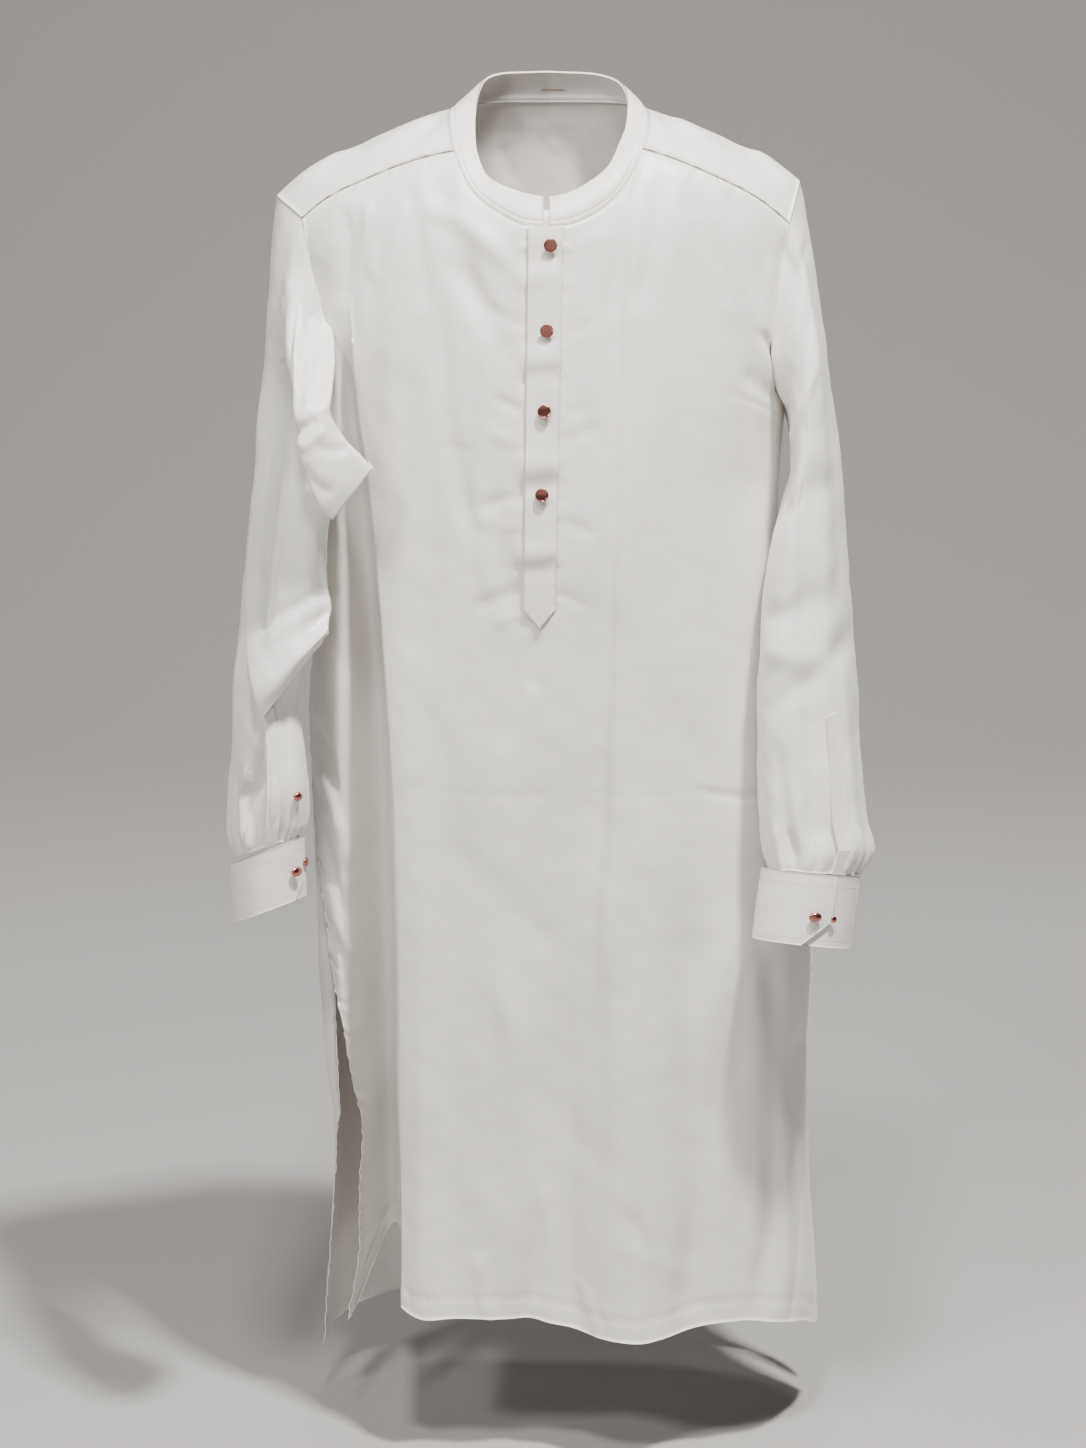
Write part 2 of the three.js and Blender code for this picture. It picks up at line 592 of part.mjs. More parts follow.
const SLEEVE_PLACKETS = rows(['side', 'angle', 'from', 'to'], [
  ['left', -58, 7, 11],
  ['right', -112, 11, 15],
]);
function sleevePlacketGrid({ side, angle, from, to }) {
  const angles = ringAngles(armhole(side));
  let column = 0;
  while (angles[column + 1] < angle) column += 1;
  const strip = sleeveGrid(side).slice(from, to + 1).map((row) => row.slice(column, column + 2));
  return raise(side === 'left' ? strip : mirrored(strip), LIFT + WALL);
}

// ---- fittings ----
// A turned piece: half profile of radius and height, standing on a point along a direction.
function turned(profile, foot, direction) {
  const shape = new THREE.LatheGeometry(profile.map(([r, h]) => new THREE.Vector2(r, h)), TURNED_SIDES);
  const turn = new THREE.Quaternion().setFromUnitVectors(V(0, 1, 0), direction.clone().normalize());
  shape.applyQuaternion(turn);
  shape.translate(foot.x, foot.y, foot.z);
  return shape;
}

function discProfile(radius, edge, rise, shank) {
  const under = rise - edge;
  return [[0, 0], [shank, 0], [shank, under], [radius - BEVEL, under], [radius, under + BEVEL],
    [radius, rise - BEVEL], [radius - BEVEL, rise], [0, rise]];
}

// ---- walls ----
// Each piece is a list of grids seen from outside: rows go down, columns go to the wearer's left.
const key = (p) => [p.x, p.y, p.z].map((v) => Math.round(v * 1000)).join(' ');

function weld(grids) {
  const points = [];
  const index = new Map();
  const faces = [];
  const add = (p) => {
    const k = key(p);
    if (!index.has(k)) {
      index.set(k, points.length);
      points.push(p);
    }
    return index.get(k);
  };
  for (const grid of grids) {
    for (let r = 0; r < grid.length - 1; r += 1) {
      for (let c = 0; c < grid[r].length - 1; c += 1) {
        const [a, b, d, e] = [grid[r][c], grid[r][c + 1], grid[r + 1][c], grid[r + 1][c + 1]].map(add);
        for (const face of [[a, d, b], [b, d, e]]) {
          if (new Set(face).size === 3) faces.push(face);
        }
      }
    }
  }
  return { points, faces };
}

function addNormals(store, { points, faces }) {
  for (const face of faces) {
    const [a, b, c] = face.map((i) => points[i]);
    const normal = b.clone().sub(a).cross(c.clone().sub(a));
    for (const i of face) {
      const k = key(points[i]);
      store.set(k, (store.get(k) ?? V(0, 0, 0)).add(normal));
    }
  }
}

// Closed body of a welded surface: outer face, inner face one wall in, and the rim between them.
function walled({ points, faces }, normals, wall) {
  const normal = points.map((p) => normals.get(key(p)).clone().normalize());
  const open = new Map();
  for (const [a, b, c] of faces) {
    for (const [from, to] of [[a, b], [b, c], [c, a]]) {
      if (!open.delete(`${to} ${from}`)) open.set(`${from} ${to}`, [from, to]);
    }
  }
  const inward = points.map(() => V(0, 0, 0));
  for (const [from, to] of open.values()) {
    const along = points[to].clone().sub(points[from]).normalize();
    for (const i of [from, to]) inward[i].add(normal[i].clone().cross(along).normalize());
  }
  const outer = points.map((p, i) => {
    const length = inward[i].length();
    if (length === 0) return p.clone();
    return p.clone().addScaledVector(inward[i], 2 * HALF_SEAM / Math.max(length * length, 1));
  });
  const inner = outer.map((p, i) => p.clone().addScaledVector(normal[i], -wall));
  const n = points.length;
  const triangles = [];
  for (const [a, b, c] of faces) triangles.push([a, b, c], [n + a, n + c, n + b]);
  for (const [a, b] of open.values()) triangles.push([b, a, n + a], [b, n + a, n + b]);
  const geometry = new THREE.BufferGeometry();
  geometry.setAttribute('position', new THREE.Float32BufferAttribute(
    [...outer, ...inner].flatMap((p) => [p.x, p.y, p.z]), 3));
  geometry.setIndex(triangles.flat());
  geometry.computeVertexNormals();
  return geometry;
}

// ---- assembly ----
const group = new THREE.Group();
group.name = 'kurta';
function addMesh(name, geometry, look) {
  const mesh = new THREE.Mesh(geometry, look);
  mesh.name = name;
  group.add(mesh);
}

const shared = [
  { name: 'front', grids: [frontGrid()], wall: WALL },
  { name: 'back', grids: [backGrid()], wall: WALL },
  {
    name: 'yoke',
    grids: [mirrored(shoulderPatch('right')), shoulderPatch('left'), backPatch()],
    wall: WALL,
  },
  { name: 'collar', grids: [collarGrid().reverse()], wall: COLLAR_WALL },
  { name: 'sleeve_left', grids: [sleeveGrid('left')], wall: WALL },
  { name: 'sleeve_right', grids: [mirrored(sleeveGrid('right'))], wall: WALL },
];
const seamNormals = new Map();
const sharedSurfaces = shared.map((piece) => weld(piece.grids));
sharedSurfaces.forEach((surface) => addNormals(seamNormals, surface));
shared.forEach((piece, i) => {
  addMesh(piece.name, walled(sharedSurfaces[i], seamNormals, piece.wall), cloth);
});

const alone = [
  { name: 'placket', grid: placketGrid(), wall: PLACKET_WALL },
  ...CUFFS.map((cuff) => ({ name: cuff.name, grid: cuffGrid(cuff), wall: CUFF_WALL })),
  ...SLEEVE_PLACKETS.map((row) => (
    { name: `sleeve_placket_${row.side}`, grid: sleevePlacketGrid(row), wall: WALL })),
];
for (const piece of alone) {
  const surface = weld([piece.grid]);
  const normals = new Map();
  addNormals(normals, surface);
  addMesh(piece.name, walled(surface, normals, piece.wall), cloth);
}

const buttonProfile = discProfile(BUTTON.radius, BUTTON.edge, BUTTON.rise, BUTTON.shank);
for (const button of BUTTONS) {
  const foot = placketFace(button.x, button.z);
  foot.y -= LIFT;
  addMesh(button.name, turned(buttonProfile, foot, V(0, -1, 0)), metal);
}

for (const link of CUFFLINKS) {
  const cuff = CUFFS[link.cuff];
  const share = (link.angle + 360 - cuff.lap) / (360 + CUFF_LAP);
  const out = V(Math.sin(radians(link.angle)), -Math.cos(radians(link.angle)), 0);
  const foot = cuffPoint(cuff, share, link.down).addScaledVector(out, LIFT);
  const { radius, edge, rise, shank } = CUFFLINK;
  addMesh(link.name, turned(discProfile(radius, edge, rise, shank), foot, out), metal);
}

const sleeveOut = V(Math.sin(radians(35)), -Math.cos(radians(35)), 0);
const sleeveFoot = ringPoint(RIGHT_SLEEVE[SLEEVE_BUTTON.row], SLEEVE_BUTTON.angle)
  .addScaledVector(sleeveOut, LIFT);
addMesh('sleeve_button', turned(discProfile(SLEEVE_BUTTON.radius, SLEEVE_BUTTON.edge, SLEEVE_BUTTON.rise,
  SLEEVE_BUTTON.shank), sleeveFoot, sleeveOut), metal);

export default group;
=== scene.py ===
"""Long kurta: every cloth piece is a thin shell on its solid's form, with its folds laid in by tables.

Metres at the end, millimetres in the tables and in all the shape functions. The front faces -Y.
"""
import json
import math

import bpy
import numpy as np
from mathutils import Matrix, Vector

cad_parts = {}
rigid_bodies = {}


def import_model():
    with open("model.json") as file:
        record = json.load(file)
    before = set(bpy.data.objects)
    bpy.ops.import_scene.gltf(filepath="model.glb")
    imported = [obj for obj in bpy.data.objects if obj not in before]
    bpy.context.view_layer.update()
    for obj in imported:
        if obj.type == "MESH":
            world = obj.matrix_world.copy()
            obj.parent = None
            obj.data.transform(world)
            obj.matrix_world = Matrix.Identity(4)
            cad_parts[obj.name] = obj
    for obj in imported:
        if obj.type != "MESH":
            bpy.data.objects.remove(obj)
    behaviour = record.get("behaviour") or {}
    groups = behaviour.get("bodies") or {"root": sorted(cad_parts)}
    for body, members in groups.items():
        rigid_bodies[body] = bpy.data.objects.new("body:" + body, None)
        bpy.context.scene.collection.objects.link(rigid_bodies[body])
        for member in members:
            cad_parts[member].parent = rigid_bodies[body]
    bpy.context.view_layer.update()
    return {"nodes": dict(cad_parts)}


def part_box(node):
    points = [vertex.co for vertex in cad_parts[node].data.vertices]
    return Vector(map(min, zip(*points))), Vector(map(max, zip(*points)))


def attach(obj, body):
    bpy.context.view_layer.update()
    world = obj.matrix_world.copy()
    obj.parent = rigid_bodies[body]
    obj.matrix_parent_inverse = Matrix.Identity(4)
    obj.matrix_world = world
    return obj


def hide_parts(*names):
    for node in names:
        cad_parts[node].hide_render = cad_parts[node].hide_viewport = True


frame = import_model()
MM = 0.001

# ---------------------------------------------------------------- tables
# Level sections of the body: z, half width right, half width left, depth front, depth back.
BODY = np.array([
    [-1130, 209, 250, 138, 110], [-1060, 204, 247, 136, 108], [-1000, 199, 242, 134, 106],
    [-905, 194, 236, 132, 103], [-840, 202, 234, 131, 101], [-750, 206, 237, 130, 98],
    [-620, 209, 224, 128, 92], [-510, 210, 211, 126, 88], [-420, 202, 203, 124, 86],
    [-330, 198, 199, 121, 88], [-250, 203, 203, 115, 92], [-180, 213, 207, 106, 92],
    [-110, 222, 211, 92, 88], [-60, 229, 214, 80, 82]], float)
# Side edges of the front, as a share of the half width: z, right, left.
FRONT_EDGE = np.array([
    [-1070, 0.885, 0.998], [-1010, 0.856, 0.998], [-940, 0.872, 0.998], [-860, 0.860, 0.998],
    [-800, 0.880, 0.999], [-747, 0.920, 1], [-600, 0.985, 1], [-510, 1, 1], [-250, 1, 1],
    [-225, 0.935, 0.942], [-190, 0.893, 0.910], [-150, 0.893, 0.913], [-110, 0.910, 0.934]], float)
# Side edges of the back: z, right, left, degrees it wraps on to the front beside the right slit.
BACK_EDGE = np.array([
    [-1130, 1, 0.998, 0], [-1000, 1, 0.998, 4], [-905, 1, 0.998, 10], [-870, 1, 0.999, 21],
    [-830, 1, 0.999, 24], [-747, 1, 1, 25], [-510, 1, 1, 0], [-250, 1, 1, 0],
    [-225, 0.965, 0.975, 0], [-190, 0.932, 0.955, 0], [-150, 0.925, 0.955, 0],
    [-110, 0.922, 0.958, 0], [-90, 0.918, 0.955, 0]], float)
# The deep fold: z, outer side of its mouth, inner side, depth.
DEEP_FOLD = np.array([
    [-1070, -166, -130, 158], [-900, -163, -130, 122], [-800, -164, -130, 104],
    [-650, -164, -131, 84], [-510, -164, -136, 62], [-390, -166, -144, 42],
    [-300, -170, -153, 26], [-225, -174, -163, 12], [-140, -182, -168, 0],
    [-110, -186, -160, 0]], float)
# Broad folds shared with the solid: x top, z top, x foot, z foot, width, sink at top, at foot.
BROAD = np.array([
    [78, -150, 84, -1070, 48, 0, -24], [150, -420, 196, -1070, 40, 0, -16],
    [30, -520, -16, -1070, 34, 0, 10], [-128, -150, -112, -1070, 26, 0, -10],
    [-146, -60, -150, -300, 14, 7, 2], [-108, -90, -112, -260, 16, 4, 0],
    [132, -110, 150, -300, 20, 4, 2]], float)
# Hem levels by share of the panel's width.
FRONT_HEM = np.array([
    [0, -1072], [0.07, -1060], [0.12, -1044], [0.17, -1026], [0.24, -1016], [0.28, -1018],
    [0.31, -1034], [0.4, -1040], [0.55, -1039], [0.7, -1052], [0.8, -1045], [0.9, -1062],
    [0.96, -1082], [1, -1092]], float)
BACK_HEM = np.array([[0, -1121], [0.15, -1108], [0.5, -1090], [0.85, -1086], [1, -1084]], float)
# Neck seam and collar top: angle, seam x y z, top x y z.
NECK = np.array([
    [-180, 0, 75, 7, 0, 61, 34], [-150, -42, 68, 7, -37, 56, 33], [-120, -73, 43, 6, -55, 42, 28],
    [-90, -84, 5, 2, -61, 5, 12], [-75, -83, -22, -9, -62, -19, -7],
    [-60, -79, -43, -27, -61, -36, -23], [-45, -63, -66, -59, -52, -55, -46],
    [-24, -38, -79, -77, -33, -65, -56], [-10, -17, -86, -85, -16, -69, -61],
    [0, -2, -87, -86, -2, -71, -63], [9, 12, -85, -85, 11, -70, -61],
    [24, 35, -78, -77, 32, -63, -52], [45, 60, -64, -58, 50, -53, -38],
    [60, 78, -43, -25, 59, -37, -21], [75, 83, -22, -9, 65, -19, -6], [90, 84, 5, 2, 67, 5, 12],
    [120, 73, 43, 6, 61, 38, 26], [150, 42, 68, 7, 40, 56, 32], [180, 0, 75, 7, 0, 61, 34]], float)
YOKE = {
    "right": {"front": (-207, -42, -87), "tip": (-231, 0, -71), "crown": 12, "sign": -1},
    "left": {"front": (202, -42, -89), "tip": (213, 0, -59), "crown": 9, "sign": 1},
}
# Sleeve sections: outer x y z, inner x y z, half depth front, back, lean of the section.
LEFT_SLEEVE = np.array([
    [213, 0, -59, 203, 0, -250, 50, 40, 0], [222, -8, -100, 207, -26, -268, 56, 46, 0],
    [230, -15, -150, 206, -48, -296, 58, 44, 0], [239, -22, -210, 196, -66, -330, 56, 40, 0],
    [249, -32, -280, 186, -80, -368, 53, 38, 0.02], [255, -46, -350, 181, -90, -412, 50, 40, 0.05],
    [260, -62, -420, 178, -99, -460, 47, 42, 0.1], [265, -80, -490, 177, -108, -512, 45, 43, 0.15],
    [269, -94, -545, 178, -115, -556, 43, 43, 0.19], [273, -106, -590, 179, -121, -592, 42, 42, 0.22],
    [279, -114, -612, 182, -125, -611, 40, 40, 0.24],
    [267, -120, -634, 187, -129, -625, 36, 36, 0.24]], float)
RIGHT_SLEEVE = np.array([
    [-231, 0, -71, -203, 0, -250, 50, 40, 0], [-236, -8, -112, -207, -36, -258, 54, 44, 0],
    [-239, -15, -150, -196, -78, -264, 44, 36, 0], [-242, -21, -190, -176, -104, -268, 30, 28, 0],
    [-246, -27, -232, -162, -116, -282, 22, 24, 0], [-250, -33, -270, -172, -112, -306, 26, 26, 0],
    [-252, -40, -306, -184, -108, -330, 36, 34, 0.02], [-257, -48, -350, -187, -106, -366, 42, 38, 0.05],
    [-261, -56, -395, -189, -104, -400, 42, 40, 0.08], [-265, -64, -432, -191, -104, -430, 42, 38, 0.1],
    [-268, -72, -462, -208, -106, -456, 38, 36, 0.12], [-270, -79, -492, -214, -108, -486, 36, 34, 0.14],
    [-272, -87, -530, -207, -112, -526, 38, 34, 0.17], [-275, -93, -570, -205, -114, -564, 40, 34, 0.2],
    [-276, -95, -600, -207, -113, -590, 38, 32, 0.22],
    [-270, -94, -625, -214, -111, -603, 36, 32, 0.24]], float)
# Folded-over cloth of the right sleeve, in front of it. Each row is a line across the fold: left end x y z,
# right end x y z as seen from the front, and how far it swells between them.
UPPER_FOLD = np.array([
    [-208, -46, -88, -200, -46, -88, 0], [-210, -62, -100, -195, -58, -100, 1],
    [-211, -82, -116, -193, -74, -117, 2], [-211, -100, -134, -191, -90, -136, 3],
    [-211, -114, -153, -187, -104, -154, 4], [-212, -124, -172, -183, -113, -172, 5],
    [-212, -131, -192, -180, -120, -187, 6], [-211, -136, -212, -179, -127, -205, 6],
    [-210, -140, -230, -180, -132, -221, 6], [-208, -144, -247, -181, -138, -232, 6],
    [-206, -147, -264, -178, -140, -241, 6], [-202, -149, -280, -171, -140, -252, 7],
    [-196, -150, -296, -163, -140, -261, 7], [-189, -149, -311, -155, -139, -270, 6],
    [-179, -146, -321, -147, -138, -281, 4]], float)
LOWER_FOLD = np.array([
    [-236, -80, -200, -214, -82, -200, 0], [-242, -88, -250, -206, -92, -250, 0],
    [-249, -96, -310, -196, -104, -305, 1], [-255, -104, -356, -189, -114, -346, 3],
    [-258, -118, -402, -185, -132, -388, 6], [-257, -126, -428, -184, -136, -403, 9],
    [-254, -134, -448, -185, -138, -411, 10], [-250, -140, -467, -185, -139, -416, 10],
    [-245, -144, -482, -186, -138, -419, 8], [-240, -144, -490, -186, -136, -421, 4]], float)
# Creases across the folded cloth, as for the front.
FOLD_CREASES = np.array([
    [-214, -250, -190, -238, 5, 3.0], [-206, -262, -184, -246, 5, -2.4], [-196, -120, -204, -230, 4, 2.0],
    [-210, -150, -200, -240, 5, -2.0], [-190, -262, -164, -262, 5, 1.6], [-204, -276, -180, -300, 6, 1.8],
    [-212, -196, -184, -214, 5, 1.5], [-252, -440, -186, -396, 8, -3.0], [-248, -424, -186, -384, 6, 1.8],
    [-246, -372, -240, -440, 8, 1.8], [-210, -372, -204, -430, 8, 1.6]], float)
# Opening of the right sleeve above its cuff: z, x of both edges, depth.
SLEEVE_SLIT = np.array([
    [-660, -262, -212, 0], [-606, -263, -213, 0], [-588, -264, -215, 6], [-566, -264, -218, 18],
    [-548, -258, -225, 24], [-526, -251, -233, 20], [-508, -246, -237, 12], [-494, -242, -240, 5],
    [-484, -241, -240.5, 0], [-400, -241, -240.5, 0]], float)
# Cuffs: x y z at the top, at the foot, half width, half depth, slope across, lean, lap angle.
CUFFS = {
    "cuff_left": (224.5, -126, -630, 216.5, -135, -690, 40.5, 37, -0.11, 0.24, -21),
    "cuff_right": (-242, -103, -617.2, -240, -104, -669, 30, 42, 0.39, 0.24, 30),
}
CUFF_LAP = 46
LAP_RISE = 3.6
POWER = 0.85
# Swell of the upper front at mid height, as a share of its length above the chest line.
UPPER_SWELL = 0.07
# Level that the rows of the front are spaced down to, before FRONT_HEM shapes them.
FRONT_FOOT = -1016
HEM = 20                         # depth of the turned hem of front and back
CHEST, BACK_SEAM, UNDERARM, SLIT_TOP = -110.0, -90.0, -250.0, -747.0

# Creases of the front: x and z of both ends, half width, sink (- stands out), both in millimetres.
FRONT_CREASES = np.array([
    # beside the neck and yoke
    [-92, -48, -60, -150, 11, 2.6], [-118, -52, -104, -150, 7, 1.8], [-70, -75, -48, -170, 9, 1.6],
    [-100, -70, -30, -120, 9, -2.2], [92, -48, 74, -150, 10, 2.2], [66, -74, 48, -160, 8, 1.5],
    [118, -58, 150, -150, 9, 1.8], [150, -64, 176, -150, 7, 1.4],
    [-170, -78, -176, -150, 6, 2.4], [-160, -74, -162, -190, 7, 2.0], [-150, -70, -146, -130, 5, -1.6],
    # cloth swollen across the placket between its buttons, and small pulls beside it
    [-24, -195, 12, -190, 11, -1.4], [-26, -209, 12, -205, 8, 0.9], [-26, -284, 10, -279, 11, -1.6],
    [-30, -298, 10, -294, 8, 1.1], [-28, -355, 8, -350, 11, -1.5], [-30, -368, 8, -365, 7, 1.0],
    [-30, -130, 10, -126, 10, -1.6], [-52, -150, -20, -166, 5, 1.2], [-46, -226, -20, -238, 4, 1.3],
    [-50, -252, -22, -262, 5, -1.1], [-58, -318, -24, -306, 5, 1.3], [-40, -334, -22, -326, 3.5, -1.0],
    [-62, -400, -22, -384, 6, 1.3], [-44, -416, -20, -404, 4, -1.0], [14, -172, 34, -164, 4, 1.0],
    [14, -240, 30, -232, 4, 0.9], [12, -262, 44, -250, 5, 0.9], [12, -330, 36, -338, 5, 1.0],
    [10, -388, 30, -398, 4, 0.9], [-34, -424, -40, -520, 9, 1.2], [-10, -424, -14, -470, 6, 1.4],
    [-84, -112, -36, -196, 12, 2.0], [-62, -200, -44, -330, 13, 1.8], [-52, -330, -30, -420, 12, 1.6],
    # chest and armholes
    [176, -176, 200, -214, 4, 2.4], [166, -210, 198, -238, 7, 1.8], [150, -150, 170, -330, 14, 2.0],
    [188, -110, 180, -250, 6, -1.6], [-120, -200, -132, -330, 12, 1.6], [118, -120, 112, -420, 18, 2.2],
    [40, -180, 52, -420, 18, -2.0], [-96, -250, -112, -520, 16, 2.0],
    # packing creases across and down
    [-120, -556, 20, -558, 2.6, 0.3], [20, -558, 128, -560, 2.4, 0.3], [128, -560, 190, -574, 2.4, 1.5],
    [-96, -268, -60, -270, 2.6, 0.4], [150, -226, 196, -250, 2.6, 0.6],
    [58, -500, 42, -760, 8, -1.4],
    [-90, -150, -64, -340, 10, 2.6], [-44, -150, -40, -420, 9, -1.6], [30, -130, 30, -400, 9, -1.3],
    # long soft folds of the skirt
    [-70, -560, -84, -1060, 18, 3.0], [-44, -700, -40, -1060, 14, -3.2], [-100, -640, -108, -1040, 12, -2.4],
    [18, -760, 22, -1060, 13, 3.0], [52, -640, 50, -1060, 12, -2.6], [112, -640, 122, -1050, 16, 4.4],
    [150, -700, 158, -1050, 13, -3.0], [176, -640, 182, -1060, 12, 3.4], [206, -760, 212, -1060, 9, -2.6],
    [-10, -900, -2, -1050, 7, -1.4], [-60, -980, -50, -1045, 5, -1.6], [70, -930, 96, -1050, 8, 1.8],
    [28, -1000, 44, -1050, 4, -1.3], [228, -935, 214, -1060, 3, 2.2], [222, -800, 226, -900, 8, 2.0],
    # slanting drag folds
    [-90, -600, 10, -700, 15, 0.8], [-60, -760, 60, -900, 16, 0.8], [90, -480, 170, -600, 16, 0.8],
    [60, -560, 130, -700, 15, -0.7], [-110, -820, -30, -960, 14, -0.7], [110, -800, 190, -940, 14, 0.8],
    [60, -960, 150, -1020, 9, -0.8], [-118, -440, -60, -560, 14, -0.8],
    # side strip beside the seam on the right
    [-200, -520, -178, -600, 5, 2.2], [-198, -560, -176, -640, 5, -2.2], [-196, -610, -174, -690, 5, 2.4],
    [-192, -650, -172, -730, 5, -2.2], [-188, -700, -170, -790, 5, 2.0]], float)
# The same for the back: looser, with folds from the yoke and a soft sway above the hem.
BACK_CREASES = np.array([
    [-60, -95, -66, -420, 20, 3.4], [60, -95, 70, -460, 20, 3.2], [-130, -100, -120, -380, 16, -3.0],
    [126, -100, 120, -360, 16, -2.8], [0, -140, 4, -620, 26, -3.6], [-90, -480, -110, -1080, 26, 6.0],
    [-30, -560, -40, -1080, 22, -6.5], [40, -520, 34, -1080, 24, 6.5], [100, -600, 110, -1080, 24, -6.0],
    [160, -560, 176, -1080, 22, 5.0], [-150, -640, -160, -1080, 20, -4.0], [-170, -140, -120, -240, 9, 2.2],
    [168, -140, 120, -230, 9, 2.2], [-180, -200, -100, -300, 10, -1.8], [176, -200, 104, -290, 10, -1.8],
    [-110, -420, 20, -470, 12, 1.6], [110, -440, -10, -500, 12, -1.5], [-70, -700, 50, -790, 13, 1.5],
    [80, -740, 160, -860, 13, 1.6], [-150, -820, -60, -930, 12, -1.5],
    [-120, -560, 130, -562, 3, 0.5]], float)

# Creases of the yoke: x, and height of both ends (z and half of y), width, sink.
YOKE_CREASES = np.array([
    [-90, 4, -120, -40, 7, 2.4], [-104, 0, -150, -50, 8, -2.0], [-70, 26, -100, -20, 9, 1.8],
    [-150, -20, -190, -70, 9, 1.8], [-175, -30, -215, -80, 7, -1.6], [90, 10, 116, -36, 7, 2.2],
    [106, 4, 150, -50, 9, -2.0], [150, -20, 196, -70, 9, 2.2], [176, -26, 204, -80, 7, -1.8],
    [-7, 30, -1, 16, 3, 1.2], [2, 18, 8, 6, 3, 1.2], [-50, 26, 50, 24, 2.2, 0.5],
    [30, -6, 52, -8, 2, 0.5], [-40, 10, -30, -20, 7, -1.2], [30, 26, 44, -20, 9, 1.2]], float)
# Pressed line down the front: z, x.
PRESSED_LINE = np.array([[-1036, 36], [-742, 44], [-565, 54], [-309, 63], [-56, 71]], float)
BUTTON_LEVELS = np.array([-101.0, -170.0, -236.0, -305.0])


# ---------------------------------------------------------------- smooth tables
def curve(table, column, at):
    """Smooth value of a column at the keys in the first column, without overshoot."""
    key, val = table[:, 0], table[:, column]
    step = np.diff(key)
    slope = np.diff(val) / step
    tangent = np.empty(len(key))
    tangent[0], tangent[-1] = slope[0], slope[-1]
    a, b = slope[:-1], slope[1:]
    tangent[1:-1] = np.where(a * b > 0, 2 * a * b / np.where(a + b == 0, 1, a + b), 0)
    x = np.clip(at, key[0], key[-1])
    i = np.clip(np.searchsorted(key, x, side="right") - 1, 0, len(key) - 2)
    h = step[i]
    t = (x - key[i]) / h
    return ((2 * t**3 - 3 * t**2 + 1) * val[i] + (t**3 - 2 * t**2 + t) * h * tangent[i]
            + (3 * t**2 - 2 * t**3) * val[i + 1] + (t**3 - t**2) * h * tangent[i + 1])


def power(value, exponent):
    return np.sign(value) * np.abs(value) ** exponent


def bell(distance, width):
    return np.exp(-((distance / width) ** 2))


def smooth(t):
    t = np.clip(t, 0, 1)
    return t * t * (3 - 2 * t)


def mix(a, b, t):
    return a + (b - a) * t


def unit(v):
    return v / np.maximum(np.linalg.norm(v, axis=-1, keepdims=True), 1e-12)


# ---------------------------------------------------------------- body form
def half_width(z, side):
    return np.where(side > 0, curve(BODY, 2, z), curve(BODY, 1, z))


def angle_of(x, z):
    share = np.minimum(1, np.abs(x) / half_width(z, x))
    return np.sign(x) * np.degrees(np.arcsin(share ** (1 / POWER)))


def body_point(angle, z):
    """Rounded oval at level z: x from the sine of the angle, y from its cosine, both squared off."""
    a = np.radians(angle)
    side, face = np.sin(a), np.cos(a)
    x = half_width(z, side) * power(side, POWER)
    depth = np.where(face > 0, curve(BODY, 3, z), curve(BODY, 4, z))
    return np.stack([x, -depth * power(face, POWER), z + 0 * x], -1)


def broad_folds(x, z):
    sink = np.zeros_like(x)
    for x0, z0, x1, z1, width, top, foot in BROAD:
        t = (z - z0) / (z1 - z0)
        fade = np.where(t < 0, 1 + t / 0.12, np.where(t > 1, (1.25 - t) / 0.25, 1))
        sink += mix(top, foot, np.clip(t, 0, 1)) * np.clip(fade, 0, 1) * bell(x - mix(x0, x1, t), width)
    return sink


def deep_fold(x, z):
    outer, inner, depth = (curve(DEEP_FOLD, c, z) for c in (1, 2, 3))
    s = (x - outer) / (inner - outer)
    entry = np.where(s < 0.62, np.sin(np.clip((s + 0.7) / 1.32, 0, 1) * np.pi / 2) ** 2, 1)
    leave = np.where(s > 0.72, 1 - np.clip((s - 0.72) / 0.28, 0, 1) ** 2, 1)
    return np.where((s > -0.7) & (s < 1), depth * entry * leave, 0)


def creases(table, x, z):
    """Soft troughs and ridges along straight runs, thinned out at both ends."""
    sink = np.zeros_like(x)
    for x0, z0, x1, z1, width, depth in table:
        dx, dz = x1 - x0, z1 - z0
        length = math.hypot(dx, dz)
        t = ((x - x0) * dx + (z - z0) * dz) / length**2
        off = ((x - x0) * dz - (z - z0) * dx) / length
        bow = 0.06 * length * np.sin(np.pi * np.clip(t, 0, 1)) * math.sin(x0 * 0.7 + z0)
        ends = smooth((t + 0.12) / 0.3) * smooth((1.12 - t) / 0.3)
        sink += depth * ends * bell(off - bow, width)
    return sink


def front_point(angle, z):
    p = body_point(angle, z)
    x = p[..., 0]
    edge = np.where(x > 0, curve(FRONT_EDGE, 2, z), curve(FRONT_EDGE, 1, z)) * half_width(z, x)
    fade = np.clip((edge - np.abs(x) - 0.01) / 26, 0, 1)
    p[..., 1] += broad_folds(x, z) * fade + deep_fold(x, z)
    return p


def neck(angle, first=1):
    a = (np.asarray(angle, float) + 180) % 360 - 180
    return np.stack([curve(NECK, first + i, a) for i in range(3)], -1)


# Edges of the placket at the chest line, its levels, and how far each edge drifts to the right by its point.
PLACKET = {"right": -17.0, "left": 11.0, "point": -417.0, "foot": -401.0}
PLACKET_DRIFT = {"right": 4, "left": 6}


